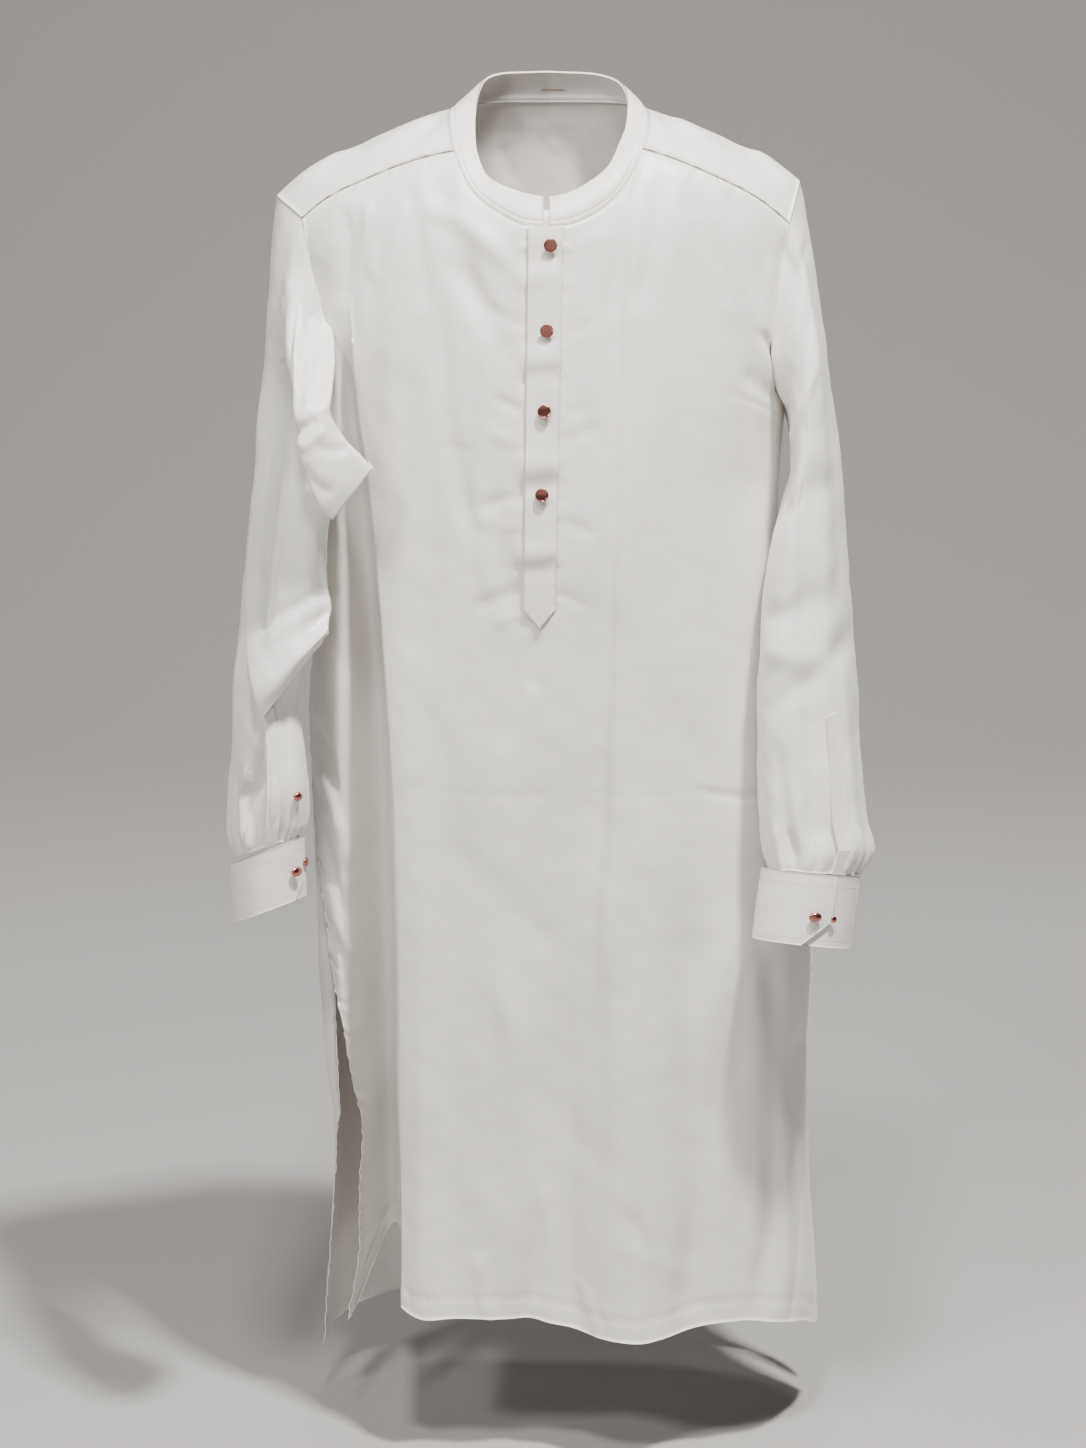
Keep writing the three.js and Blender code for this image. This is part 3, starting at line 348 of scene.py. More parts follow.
def spread(knots, shares, z):
    """Value at each column: the knots' values at z, mixed by the share of its span. z ends in the columns."""
    span = np.repeat(np.arange(len(shares)), [len(part) for part in shares])
    span = np.append(span, len(shares) - 1)
    share = np.append(np.concatenate(shares), 1.0)
    values = np.stack([np.broadcast_to(k, z.shape) for k in knots])
    column = np.arange(len(span))
    start = np.moveaxis(values[span, ..., column], 0, -1)
    end = np.moveaxis(values[span + 1, ..., column], 0, -1)
    return mix(start, end, share)


def even(n):
    return [i / n for i in range(n)]


# Columns of the front, between the knots: side edge, fold mouth, neck, placket, neck, side edge.
FRONT_SHARES = [even(18), [(i / 36) ** 0.8 for i in range(36)], even(24), even(20), even(10), even(20),
                even(48)]
NECK_RIGHT = sum(len(s) for s in FRONT_SHARES[:3])
NECK_LEFT = sum(len(s) for s in FRONT_SHARES[:6])


def edge_angles(z):
    return [np.degrees(np.arcsin(curve(FRONT_EDGE, c, z) ** (1 / POWER))) for c in (1, 2)]


FRONT_COUNT = sum(len(s) for s in FRONT_SHARES) + 1


def placket_edge(side, z):
    """Where an edge of the placket lies across the front, at any height."""
    drop = np.clip((CHEST - z) / (CHEST - PLACKET["point"]), 0, 1)
    return PLACKET[side] - PLACKET_DRIFT[side] * drop


def front_angles(z):
    neck_x = mix(79, 96, np.clip((CHEST - z) / 300, 0, 1))
    right, left = edge_angles(z)
    knots = [-right, angle_of(curve(DEEP_FOLD, 1, z), z), angle_of(curve(DEEP_FOLD, 2, z), z),
             angle_of(-neck_x, z), angle_of(placket_edge("right", z), z),
             angle_of(placket_edge("left", z), z), angle_of(neck_x, z), left]
    return spread(knots, FRONT_SHARES, z)


def front_seam(side, t):
    """Front yoke seam from the armhole corner (0) to the neck (1), crowned a little."""
    shoulder = YOKE[side]
    t = np.asarray(t, float)[..., None]
    p = mix(np.array(shoulder["front"], float), neck(shoulder["sign"] * 60), t)
    return p + 4 * t * (1 - t) * np.array([0, -4, shoulder["crown"] * 0.9])


# Share of the right yoke seam reached at each share of the right half: the fold's cloth is gathered.
GATHER = np.array([[0, 0], [0.154, 0.333], [0.23, 0.34], [0.615, 0.5], [0.77, 0.7], [1, 1]], float)
# Neck angle at each share of the way across the neck.
ACROSS_NECK = np.array([[0, -60], [0.4, -10], [0.5, 0], [0.6, 9], [1, 60]], float)


def front_top(count):
    right = front_seam("right", curve(GATHER, 1, np.arange(NECK_RIGHT) / NECK_RIGHT))
    across = np.arange(NECK_LEFT - NECK_RIGHT + 1) / (NECK_LEFT - NECK_RIGHT)
    left = front_seam("left", (count - 1 - np.arange(NECK_LEFT + 1, count)) / (count - 1 - NECK_LEFT))
    return np.concatenate([right, neck(curve(ACROSS_NECK, 1, across)), left])


def front_grid(top_rows, rows):
    """Rows above the chest line lean in to the yoke and neck; rows below lie on the body form."""
    levels = np.linspace(CHEST, FRONT_FOOT, rows)[:, None]
    share = np.linspace(0, 1, FRONT_COUNT)
    hem = curve(FRONT_HEM, 1, share)
    fall = np.clip((CHEST - levels) / (CHEST - FRONT_FOOT), 0, 1)
    z = CHEST + (hem[None, :] - CHEST) * fall
    body = front_point(front_angles(z), z)
    base, top = body[0], front_top(FRONT_COUNT)
    t = (np.arange(top_rows, 0, -1) / top_rows)[:, None, None]
    reach = np.linalg.norm(top - base, axis=-1)[None, :, None]
    upper = mix(base, top, t)
    upper[..., 1:2] -= UPPER_SWELL * 4 * t * (1 - t) * reach
    upper[..., 1] += broad_folds(upper[..., 0], upper[..., 2]) * (t * (1 - t))[..., 0]
    return np.concatenate([upper, body])


def soften(grid, row, reach):
    """Rounds off the grid where two runs of rows meet, over a few rows each way."""
    for _ in range(reach * 2):
        a, b = max(row - reach, 1), row + reach
        grid[a:b] = 0.5 * grid[a:b] + 0.25 * (grid[a - 1:b - 1] + grid[a + 1:b + 1])
    return grid


BACK_STEPS = (36, 56, 36)
BACK_COUNT = sum(BACK_STEPS) + 1


def back_angles(z):
    right, left = edge_angles(z)
    seamed = (z < UNDERARM) & (z >= SLIT_TOP)
    back_edge = [np.degrees(np.arcsin(curve(BACK_EDGE, c, z) ** (1 / POWER))) for c in (1, 2)]
    first = np.where(seamed, left, 180 - back_edge[1])
    last = np.where(seamed, 360 - right, 180 + back_edge[0] + curve(BACK_EDGE, 3, z))
    inner = 180 - np.abs(angle_of(92.0, z))
    return spread([first, inner, 360 - inner, last], [even(n) for n in BACK_STEPS], z)


def back_grid(rows):
    hem = curve(BACK_HEM, 1, 1 - np.arange(BACK_COUNT) / (BACK_COUNT - 1))
    fall = np.linspace(0, 1, rows)[:, None]
    z = BACK_SEAM + (hem[None, :] - BACK_SEAM) * fall
    return body_point(back_angles(z), z)


def ripple(p, scale, seed):
    """Gentle unevenness from about -1 to 1: sines in chance directions, with lengths round a scale."""
    chance = np.random.default_rng(seed)
    total = np.zeros(p.shape[:-1])
    for _ in range(14):
        way = unit(chance.normal(size=3)) / (scale * chance.uniform(0.6, 1.7))
        total += np.sin(2 * np.pi * (p @ way) + chance.uniform(0, 6.3))
    return total / 5


def wobble(at, *waves):
    """Uneven run of values from -1 to 1 along a line: a few waves of (length, phase)."""
    return sum(np.sin(2 * np.pi * at / length + phase) for length, phase in waves) / len(waves)


def puckers(along, away, reach, slant=0.5, phase=0.0):
    """Small gathers beside a seam: waves along it, slanted, that fade out with the distance from it."""
    at = along + slant * away + 5 * np.sin(along / 31 + phase)
    return wobble(at, (12.5, phase), (19, 2 * phase + 1), (8.3, phase + 2)) * np.exp(-(away / reach) ** 2)


# ---------------------------------------------------------------- mesh building
def grid_normals(grid):
    """Outward normals of a grid whose rows go down and whose columns go to the wearer's left."""
    return unit(np.cross(np.gradient(grid, axis=0), np.gradient(grid, axis=1)))


def shift(grid, amount):
    return grid + grid_normals(grid) * np.asarray(amount)[..., None]


def add_mesh(name, verts, quads, uv):
    """Mesh of four-sided faces in metres. The uv is given for each point, or for each corner of each face."""
    mesh = bpy.data.meshes.new(name)
    n = len(quads)
    mesh.vertices.add(len(verts))
    mesh.vertices.foreach_set("co", (verts * MM).ravel())
    mesh.loops.add(4 * n)
    mesh.loops.foreach_set("vertex_index", quads.ravel().astype(np.int32))
    mesh.polygons.add(n)
    mesh.polygons.foreach_set("loop_start", np.arange(0, 4 * n, 4, dtype=np.int32))
    mesh.polygons.foreach_set("loop_total", np.full(n, 4, dtype=np.int32))
    mesh.polygons.foreach_set("use_smooth", np.ones(n, bool))
    layer = mesh.uv_layers.new(name="cloth")
    layer.data.foreach_set("uv", np.asarray(uv if uv.ndim == 3 else uv[quads], float).ravel())
    mesh.update()
    mesh.validate()
    obj = bpy.data.objects.new(name, mesh)
    bpy.context.scene.collection.objects.link(obj)
    return obj


def run_lengths(grid):
    """Distances along the rows and down the columns of a grid, the first from its middle column."""
    across = np.linalg.norm(np.diff(grid, axis=1), axis=2)
    down = np.linalg.norm(np.diff(grid, axis=0), axis=2)
    u = np.concatenate([np.zeros((len(grid), 1)), np.cumsum(across, 1)], 1)
    v = np.concatenate([np.zeros((1, grid.shape[1])), np.cumsum(down, 0)], 0)
    middle = u.shape[1] // 2
    return u - u[:, middle:middle + 1], v


def shell(name, grids, wall, closed=False, joins=()):
    """Thin closed body on each grid: outer face, inner face one wall in, rims where they are open.

    A join names two grids and the line they share, where they become one cloth with no rim.
    """
    grids = grids if isinstance(grids, list) else [grids]
    rounds = closed if isinstance(closed, list) else [closed] * len(grids)
    sizes = [grid.shape[0] * grid.shape[1] for grid in grids]
    starts = np.concatenate([[0], np.cumsum(sizes)])
    own = [start + np.arange(n).reshape(grid.shape[:2]) for grid, start, n in zip(grids, starts, sizes)]
    index = [numbers.copy() for numbers in own]
    normals = [grid_normals(grid) for grid in grids]
    for number, normal, is_round in zip(index, normals, rounds):
        if is_round:
            normal[:, 0] = normal[:, -1] = unit(normal[:, 0] + normal[:, -1])
            number[:, -1] = number[:, 0]
    joined = [np.zeros(0, int)]
    for (one, line), (other, far_line) in joins:
        shared = unit(normals[one][line] + normals[other][far_line])
        normals[one][line] = normals[other][far_line] = shared
        index[other][far_line] = index[one][line]
        joined.append(index[one][line])
    joined = np.concatenate(joined)

    total = starts[-1]
    quads, corners = [], []
    for number, at, is_round in zip(index, own, rounds):
        for values, out in ((number, quads), (at, corners)):
            a, b, c, d = values[:-1, :-1], values[:-1, 1:], values[1:, 1:], values[1:, :-1]
            face = np.stack([a, d, c, b], -1).reshape(-1, 4)
            out += [face, face[:, ::-1] + total]
        rims = [(np.s_[0], True), (np.s_[-1], False)]
        if not is_round:
            rims += [(np.s_[:, 0], False), (np.s_[:, -1], True)]
        for line, flip in rims:
            inside = np.isin(number[line], joined)
            keep = ~(inside[:-1] & inside[1:])
            for values, out in ((number, quads), (at, corners)):
                p, q = values[line][:-1][keep], values[line][1:][keep]
                rim = np.stack([p, q, q + total, p + total], -1)
                out.append(rim[:, ::-1] if flip else rim)
    outer = np.concatenate([grid.reshape(-1, 3) for grid in grids])
    inner = outer - wall * np.concatenate([normal.reshape(-1, 3) for normal in normals])
    flat = np.concatenate([np.stack(run_lengths(grid), -1).reshape(-1, 2) for grid in grids]) * MM
    used, quads = np.unique(np.concatenate(quads), return_inverse=True)
    uv = np.concatenate([flat, flat])[np.concatenate(corners)]
    return add_mesh(name, np.concatenate([outer, inner])[used], quads.reshape(-1, 4), uv)


# ---------------------------------------------------------------- yoke
def back_run(start, end, t):
    swell = 11 * 4 * t * (1 - t) * np.minimum(1, np.abs(end[..., 1:2] - start[..., 1:2]) / 40 + 0.25)
    return mix(start, end, t) + swell * np.array([0, 0.75, 0.65])


def yoke_patch(side, across, over):
    """Shoulder part of the yoke: from the armhole edge in to the neck and the back part."""
    shoulder = YOKE[side]
    angles = back_angles(np.full(BACK_COUNT, BACK_SEAM))
    n = BACK_STEPS[0]
    ends = (angles[:n + 1] if side == "left" else angles[::-1][:n + 1])
    seam_angles = np.interp(np.linspace(0, n, across + 1), np.arange(n + 1), ends)
    back_seam = body_point(seam_angles, BACK_SEAM)
    t = np.linspace(0, 1, over + 1)[:, None]
    front, back = np.array(shoulder["front"], float), back_seam[0]
    crown = np.array(shoulder["tip"], float) - mix(front, back, 0.5)
    arm = mix(front, back, t) + crown * (1 - (2 * t - 1) ** 2)
    half = over // 2
    neck_angles = np.interp(np.arange(half + 1), np.linspace(0, half, 5), [60, 75, 90, 102, 115])
    along = neck(shoulder["sign"] * neck_angles)
    leave = along[-1]
    rest = (np.arange(1, over - half + 1) / (over - half))[:, None]
    inner = np.concatenate([along, back_run(leave, back_seam[-1], rest)])
    s = np.linspace(0, 1, across + 1)[None, :, None]
    down = np.linspace(0, 1, over + 1)[:, None, None]
    grid = mix(arm[:, None], inner[:, None], s)
    arch = 4 * s * (1 - s)
    grid[..., 2:] += shoulder["crown"] * 0.9 * arch * (1 - down ** 3)
    grid[..., 1:2] += 4 * arch * (down - 1)
    to_front = front_seam(side, np.linspace(0, 1, across + 1)) - grid[0]
    to_back = back_seam - grid[-1]
    return grid + to_front * smooth((0.22 - down) / 0.22) + to_back * smooth((down - 0.4) / 0.6)


def yoke_back(over):
    angles = back_angles(np.full(BACK_COUNT, BACK_SEAM))
    n, m = BACK_STEPS[0], BACK_STEPS[1]
    seam = body_point(angles[n:n + m + 1], BACK_SEAM)
    around = np.interp(np.arange(m + 1), np.linspace(0, m, 7), [115, 132, 156, 180, 204, 228, 245])
    t = (np.arange(over + 1) / over)[:, None, None]
    return back_run(neck(around)[None], seam[None], t)


def yoke_grid(across=36, over=48):
    """The two shoulder parts and the back part, which meet on shared lines."""
    left, right = yoke_patch("left", across, over), yoke_patch("right", across, over)
    return left, right, yoke_back(over - over // 2)


# ---------------------------------------------------------------- collar
def collar_grid(around, rows):
    """Rows from the top edge down to the neck seam, columns from the right end round the back to the left.

    It starts and ends at the centre front, each end 1.3 mm short of the centre line.
    """
    a = np.linspace(1.7, 358.3, around)
    t = np.linspace(1, 0, rows)[:, None, None]
    p = mix(neck(a)[None], neck(a, 4)[None], t)
    away = p * np.array([1, 1, 0])
    return p + unit(away) * (3.2 * 4 * t * (1 - t))


def collar_under():
    """The end of the band that lies under the gap at the centre front."""
    a = np.linspace(-7, 5, 18)
    t = np.linspace(0.56, 0.02, 14)[:, None, None]
    p = mix(neck(a)[None], neck(a, 4)[None], t)
    return p + unit(p * np.array([1, 1, 0])) * (3.2 * 4 * t * (1 - t) - 2.4)


# ---------------------------------------------------------------- sleeves
def sleeve_sections(table, rows):
    """Sections between the table's rows, spaced evenly along the sleeve and rounded through them."""
    table = np.asarray(table, float)
    middle = (table[:, :3] + table[:, 3:6]) / 2
    run = np.concatenate([[0], np.cumsum(np.linalg.norm(np.diff(middle, axis=0), axis=1))])
    keyed = np.concatenate([run[:, None], table], 1)
    at = np.linspace(0, run[-1], rows)
    return np.stack([curve(keyed, c, at) for c in range(1, keyed.shape[1])], -1), at, run


def ring_point(section, angle):
    a = np.radians(angle)
    out, into = section[..., 0:3], section[..., 3:6]
    p = mix(into, out, ((1 + np.cos(a)) / 2)[..., None])
    reach = np.sin(a) * np.where(a < 0, section[..., 6], section[..., 7])
    p[..., 1] += reach
    p[..., 2] -= reach * section[..., 8]
    return p


def armhole(side):
    """Closed armhole line from the underarm up the front, over the yoke and down the back."""
    z = np.linspace(UNDERARM, CHEST, 60)
    sign = YOKE[side]["sign"]
    column = 2 if side == "left" else 1
    angle = sign * np.degrees(np.arcsin(curve(FRONT_EDGE, column, z) ** (1 / POWER)))
    front = front_point(angle, z)
    corner = np.array(YOKE[side]["front"], float)
    t = np.linspace(0, 1, 16)[1:, None]
    rise = mix(front[-1], corner, t)
    rise[:, 1] -= (UPPER_SWELL * 4 * t * (1 - t))[:, 0] * np.linalg.norm(corner - front[-1])
    over = yoke_patch(side, 4, 40)[:, 0]
    z = np.linspace(BACK_SEAM, UNDERARM, 70)
    share = curve(BACK_EDGE, column, z) ** (1 / POWER)
    angle = 180 - np.degrees(np.arcsin(share)) if side == "left" else 180 + np.degrees(np.arcsin(share))
    back = body_point(angle, z)
    loop = np.concatenate([front, rise, over[1:], back[1:]])
    loop[-1] = loop[0]
    tip = len(front) + len(rise) - 1 + 20
    return loop, tip


def sleeve_grid(side, table, rows, around):
    loop, tip = armhole(side)
    run = np.concatenate([[0], np.cumsum(np.linalg.norm(np.diff(loop, axis=0), axis=1))])
    ring = np.where(run <= run[tip], (run / run[tip] - 1) * 180,
                    (run - run[tip]) / (run[-1] - run[tip]) * 180)
    angles = np.linspace(-180, 180, around + 1)
    hole = np.stack([np.interp(angles, ring, loop[:, i]) for i in range(3)], -1)
    sections, at, knots = sleeve_sections(table, rows)
    grid = ring_point(sections[:, None, :] + np.zeros((1, around + 1, 1)),
                      np.broadcast_to(angles, (rows, around + 1)))
    index = np.interp(at, knots, np.arange(len(knots)))
    share = np.clip(1 - index / 3, 0, 1)[:, None, None] ** 2
    return grid + (hole - grid[0])[None] * share, angles, index


# Millimetres for a degree round a sleeve, and from one section to the next.
RING_STEP, SECTION_STEP = 0.8, 46.0


def sleeve_creases(table, grid, angles, index):
    """Sinks a sleeve's grid along its creases: ring angle and section of both ends, width and depth."""
    a, k = angles[None, :] * RING_STEP, index[:, None] * SECTION_STEP
    sink = np.zeros(grid.shape[:2])
    for a0, k0, a1, k1, width, depth in table:
        x0, y0, x1, y1 = a0 * RING_STEP, k0 * SECTION_STEP, a1 * RING_STEP, k1 * SECTION_STEP
        length = math.hypot(x1 - x0, y1 - y0)
        t = ((a - x0) * (x1 - x0) + (k - y0) * (y1 - y0)) / length**2
        off = ((a - x0) * (y1 - y0) - (k - y0) * (x1 - x0)) / length
        sink += depth * smooth((t + 0.15) / 0.3) * smooth((1.15 - t) / 0.3) * bell(off, width)
    return sink


LEFT_CREASES = np.array([
    [-150, 0.4, -60, 1.6, 9, 3.0], [-160, 1.2, -70, 2.2, 9, -2.6], [-120, 0.2, -20, 1.0, 8, 2.0],
    [-110, 2.0, -90, 6.0, 12, 4.0], [-60, 1.2, -64, 6.0, 11, -3.0], [-30, 1.0, -36, 5.0, 9, 2.4],
    [-150, 3.0, -40, 4.2, 10, 2.6], [-160, 5.0, -50, 5.6, 10, 3.4], [-150, 5.6, -40, 6.6, 9, -2.4],
    [-140, 6.6, -30, 6.2, 9, 2.4], [-90, 6.4, -96, 9.8, 9, 3.4], [-50, 6.6, -44, 9.8, 8, -2.6],
    [-130, 7.4, -120, 10.4, 8, 2.6], [-20, 7.0, -24, 10.2, 8, 2.4], [-110, 8.4, -104, 11, 6, -2.4],
    [-76, 9.0, -72, 11, 5, 2.2], [-60, 9.2, -56, 11, 4, -1.8], [-34, 9.2, -32, 11, 4, 2.0],
    [-92, 9.4, -88, 11, 4, -1.8], [-122, 9.2, -118, 11, 4, 2.0], [-140, 9.0, -138, 11, 5, -1.8],
    [30, 2.0, 60, 8.0, 14, 4.0], [90, 1.0, 100, 7.0, 14, -4.0], [140, 2.0, 120, 9.0, 12, 4.0],
    [50, 9.0, 54, 11, 5, 2.2], [80, 9.0, 82, 11, 5, -2.2], [110, 9.0, 112, 11, 5, 2.2]], float)
RIGHT_CREASES = np.array([
    [-30, 0.6, -40, 5.0, 10, 3.0], [-52, 1.0, -60, 9.0, 12, 5.0], [-100, 1.0, -110, 5.0, 10, -3.0],
    [-130, 2.0, -140, 5.0, 8, 2.6], [-20, 4.0, -26, 12.0, 10, -2.2], [-84, 5.0, -70, 9.5, 9, -3.0],
    [-44, 9.0, -70, 12.0, 9, 3.0], [-100, 9.6, -40, 11.0, 10, 3.0], [-60, 11.6, -100, 12.4, 7, -2.0],
    [-130, 11.0, -120, 15.0, 7, 2.4], [-84, 12.6, -82, 15, 5, 2.6], [-60, 12.4, -62, 15, 5, -2.2],
    [-40, 12.6, -42, 15, 5, 2.4], [-104, 12.6, -100, 15, 4, -2.2], [-20, 12.4, -20, 15, 5, -2.0],
    [60, 1.0, 70, 10.0, 13, 4.0], [110, 2.0, 100, 12.0, 13, -4.0], [150, 1.0, 140, 8.0, 10, 3.0],
    [40, 12.6, 42, 15, 5, 2.2], [76, 12.6, 78, 15, 5, -2.2], [110, 12.6, 112, 15, 5, 2.2]], float)


def front_of(grid, x, z, reach=3.5):
    """Depth (y) of the front of a sleeve at places x, z: a weighted mean of its nearby front points."""
    facing = grid_normals(grid)[..., 1] < -0.15
    near = grid[facing]
    out = np.empty(x.size)
    flat_x, flat_z = x.reshape(-1), z.reshape(-1)
    for part in np.array_split(np.arange(x.size), max(1, x.size // 400)):
        gap = (flat_x[part, None] - near[:, 0]) ** 2 + (flat_z[part, None] - near[:, 2]) ** 2
        weight = np.exp(-(gap - gap.min(1, keepdims=True)) / (2 * reach**2))
        out[part] = (weight * near[:, 1]).sum(1) / weight.sum(1)
    return out.reshape(x.shape)


def fold_grid(table, host, across, rows, free, lift, roll=9.0):
    """Cloth folded over on itself: lines across the fold, swollen between their ends. It starts just under
    its sleeve's cloth, rises off it, and from the share free leaves it for its own depth. Its ends and its
    last line are rolled back behind it."""
    at = np.linspace(0, len(table) - 1, rows)
    keyed = np.concatenate([np.arange(len(table))[:, None], table], 1)
    line = np.stack([curve(keyed, c, at) for c in range(1, 8)], -1)
    left, right, swell = line[:, None, 0:3], line[:, None, 3:6], line[:, None, 6:7]
    s = np.linspace(0, 1, across)[None, :, None]
    t = np.linspace(0, 1, rows)[:, None]
    sheet = mix(left, right, s)
    sheet[..., 1:2] -= swell * (4 * s * (1 - s)) ** 0.6
    on_host = front_of(host, sheet[..., 0], sheet[..., 2]) + 2.2 - lift * smooth(t / 0.8)
    sheet[..., 1] = mix(on_host, sheet[..., 1], smooth((t - free[0]) / (free[1] - free[0])))
    inward = unit(right - left)
    turn = np.array([[0.55, 1.0], [0.12, 0.75], [-0.06, 0.42], [-0.04, 0.16]])
    back = np.array([0, 1.0, 0])
    tuck = roll * (0.3 + 0.7 * smooth(t / 0.5))[..., None]
    edge = (turn[None, :, 0:1] * inward + turn[None, :, 1:2] * back) * tuck
    mirror = (-turn[None, ::-1, 0:1] * inward + turn[None, ::-1, 1:2] * back) * tuck
    sheet = np.concatenate([sheet[:, :1] + edge, sheet, sheet[:, -1:] + mirror], 1)
    up = unit(sheet[-3] - sheet[-1])
    foot = [sheet[-1] + up * a * roll + back * b * roll for a, b in turn[::-1]]
    return np.concatenate([sheet, np.stack(foot)])


# ---------------------------------------------------------------- cuffs and strips
def cuff_point(cuff, share, down, out=0.0):
    x, y, z, fx, fy, fz, wide, deep, slope, lean, lap = CUFFS[cuff]
    a = np.radians(lap + share * (360 + CUFF_LAP))
    rise = LAP_RISE * share + out
    dx, dy = (wide + rise) * np.sin(a), -(deep + rise) * np.cos(a)
    return np.stack([mix(x, fx, down) + dx, mix(y, fy, down) + dy,
                     mix(z, fz, down) + slope * dx - lean * dy], -1)


def cuff_grid(cuff, around, rows, corner=0.075, cut=0.36):
    """The band, whose upper end has its lower corner cut off."""
    share = np.linspace(0, 1, around)[None, :]
    low = 1 - cut * np.clip((share - 1 + corner) / corner, 0, 1)
    grid = cuff_point(cuff, share, np.linspace(0, 1, rows)[:, None] * low)
    return grid + grid_normals(grid) * (0.35 * ripple(grid, 40, 5))[..., None]


def placket_grid(top_rows, rows):
    """Strip on the front, moved out along its normals, with a pointed foot."""
    levels = np.linspace(CHEST, PLACKET["foot"], rows)
    count = 29
    edges = [placket_edge(side, levels)[:, None] for side in ("right", "left")]
    x = mix(*edges, np.linspace(0, 1, count))
    z = levels[:, None] + 0 * x
    body = front_point(angle_of(x, z), z)
    near = np.linspace(-10, 9, count)
    top = neck(near)
    t = (np.arange(top_rows, 0, -1) / top_rows)[:, None, None]
    reach = np.linalg.norm(top - body[0], axis=-1)[None, :, None]
    upper = mix(body[0], top, t)
    upper[..., 1:2] -= UPPER_SWELL * 4 * t * (1 - t) * reach
    across = np.linspace(-1, 1, count)
    tip = 9
    low = PLACKET["foot"] - np.linspace(0, 1, tip)[1:, None] * 15.5 * (1 - 0.97 * np.abs(across))
    x = np.repeat(x[-1:], tip - 1, 0)
    foot = front_point(angle_of(x, low), low)
    return np.concatenate([upper, body, foot])


# ---------------------------------------------------------------- looks
def material(name):
    made = bpy.data.materials.new(name)
    made.use_nodes = True
    return made, made.node_tree, made.node_tree.nodes["Principled BSDF"]


def node(tree, kind, **values):
    made = tree.nodes.new(kind)
    for key, value in values.items():
        if hasattr(made, key):
            setattr(made, key, value)
        else:
            made.inputs[key.replace("_", " ")].default_value = value
    return made


def cloth_material(name, colour, shade, roughness=0.5, weave=0.06):
    """Off-white cotton with a soft sheen: faint uneven tone, fine weave and tiny wrinkles."""
    made, tree, look = material(name)
    link = tree.links.new
    where = node(tree, "ShaderNodeTexCoord")
    patch = node(tree, "ShaderNodeTexNoise", Scale=9.0, Detail=3.0, Roughness=0.5)
    link(where.outputs["Object"], patch.inputs["Vector"])
    tone = node(tree, "ShaderNodeMix", data_type="RGBA")
    tone.inputs["A"].default_value = (*colour, 1)
    tone.inputs["B"].default_value = (*shade, 1)
    link(patch.outputs["Fac"], tone.inputs["Factor"])
    link(tone.outputs["Result"], look.inputs["Base Color"])
    look.inputs["Roughness"].default_value = roughness
    look.inputs["Specular IOR Level"].default_value = 0.42
    look.inputs["Sheen Weight"].default_value = 0.25
    look.inputs["Sheen Roughness"].default_value = 0.4
    look.inputs["Subsurface Weight"].default_value = 0.06
    look.inputs["Subsurface Scale"].default_value = 0.004
    small = node(tree, "ShaderNodeTexNoise", Scale=60.0, Detail=4.0, Roughness=0.55)
    link(where.outputs["Object"], small.inputs["Vector"])
    fine = node(tree, "ShaderNodeTexNoise", Scale=1400.0, Detail=2.0)
    link(where.outputs["UV"], fine.inputs["Vector"])
    rough = node(tree, "ShaderNodeBump", Strength=0.22, Distance=0.0016)
    link(small.outputs["Fac"], rough.inputs["Height"])
    weft = node(tree, "ShaderNodeBump", Strength=weave, Distance=0.0004)
    link(fine.outputs["Fac"], weft.inputs["Height"])
    link(rough.outputs["Normal"], weft.inputs["Normal"])
    link(weft.outputs["Normal"], look.inputs["Normal"])
    return made


def plain_material(name, colour, roughness, metallic=0.0):
    made, _, look = material(name)
    look.inputs["Base Color"].default_value = (*colour, 1)
    look.inputs["Roughness"].default_value = roughness
    look.inputs["Metallic"].default_value = metallic
    return made


CLOTH = cloth_material("cloth", (0.78, 0.755, 0.72), (0.74, 0.71, 0.67), 0.4)
THREAD = plain_material("thread", (0.78, 0.75, 0.71), 0.5)
# The buttonhole's slit: a dark colour that paints the shade inside the opening.
SLIT_SHADE = plain_material("buttonhole", (0.26, 0.19, 0.15), 0.8)
# Rose-brown metal of the buttons and links, partly its own colour and partly darkened as painted reflection
# of a dark red room.
METAL_AND_PAINTED_REFLECTION = plain_material("metal_and_painted_reflection", (0.47, 0.20, 0.165), 0.2, 1.0)


def dress(obj, look, slot, *nodes):
    obj.data.materials.append(look)
    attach(obj, "root")
    if nodes:
        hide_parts(*nodes)
    return obj


BEAD = np.array([[1, 0, 0], [0, 1, 0], [0, 0, 1], [0, -1, 0], [0, 0, -1], [-1, 0, 0]], float)
BEAD_FACES = np.array([[0, 1, 2, 2], [0, 2, 3, 3], [0, 3, 4, 4], [0, 4, 1, 1],
                       [5, 2, 1, 1], [5, 3, 2, 2], [5, 4, 3, 3], [5, 1, 4, 4]])


def add_triangles(name, verts, faces):
    mesh = bpy.data.meshes.new(name)
    mesh.from_pydata((verts * MM).tolist(), [], faces.tolist())
    mesh.polygons.foreach_set("use_smooth", np.ones(len(faces), bool))
    mesh.update()
    obj = bpy.data.objects.new(name, mesh)
    bpy.context.scene.collection.objects.link(obj)
    return obj


def along_line(values, run, at):
    """Values of a line at given runs along it, straight between its points."""
    return np.stack([np.interp(at, run, values[:, i]) for i in range(3)], -1)


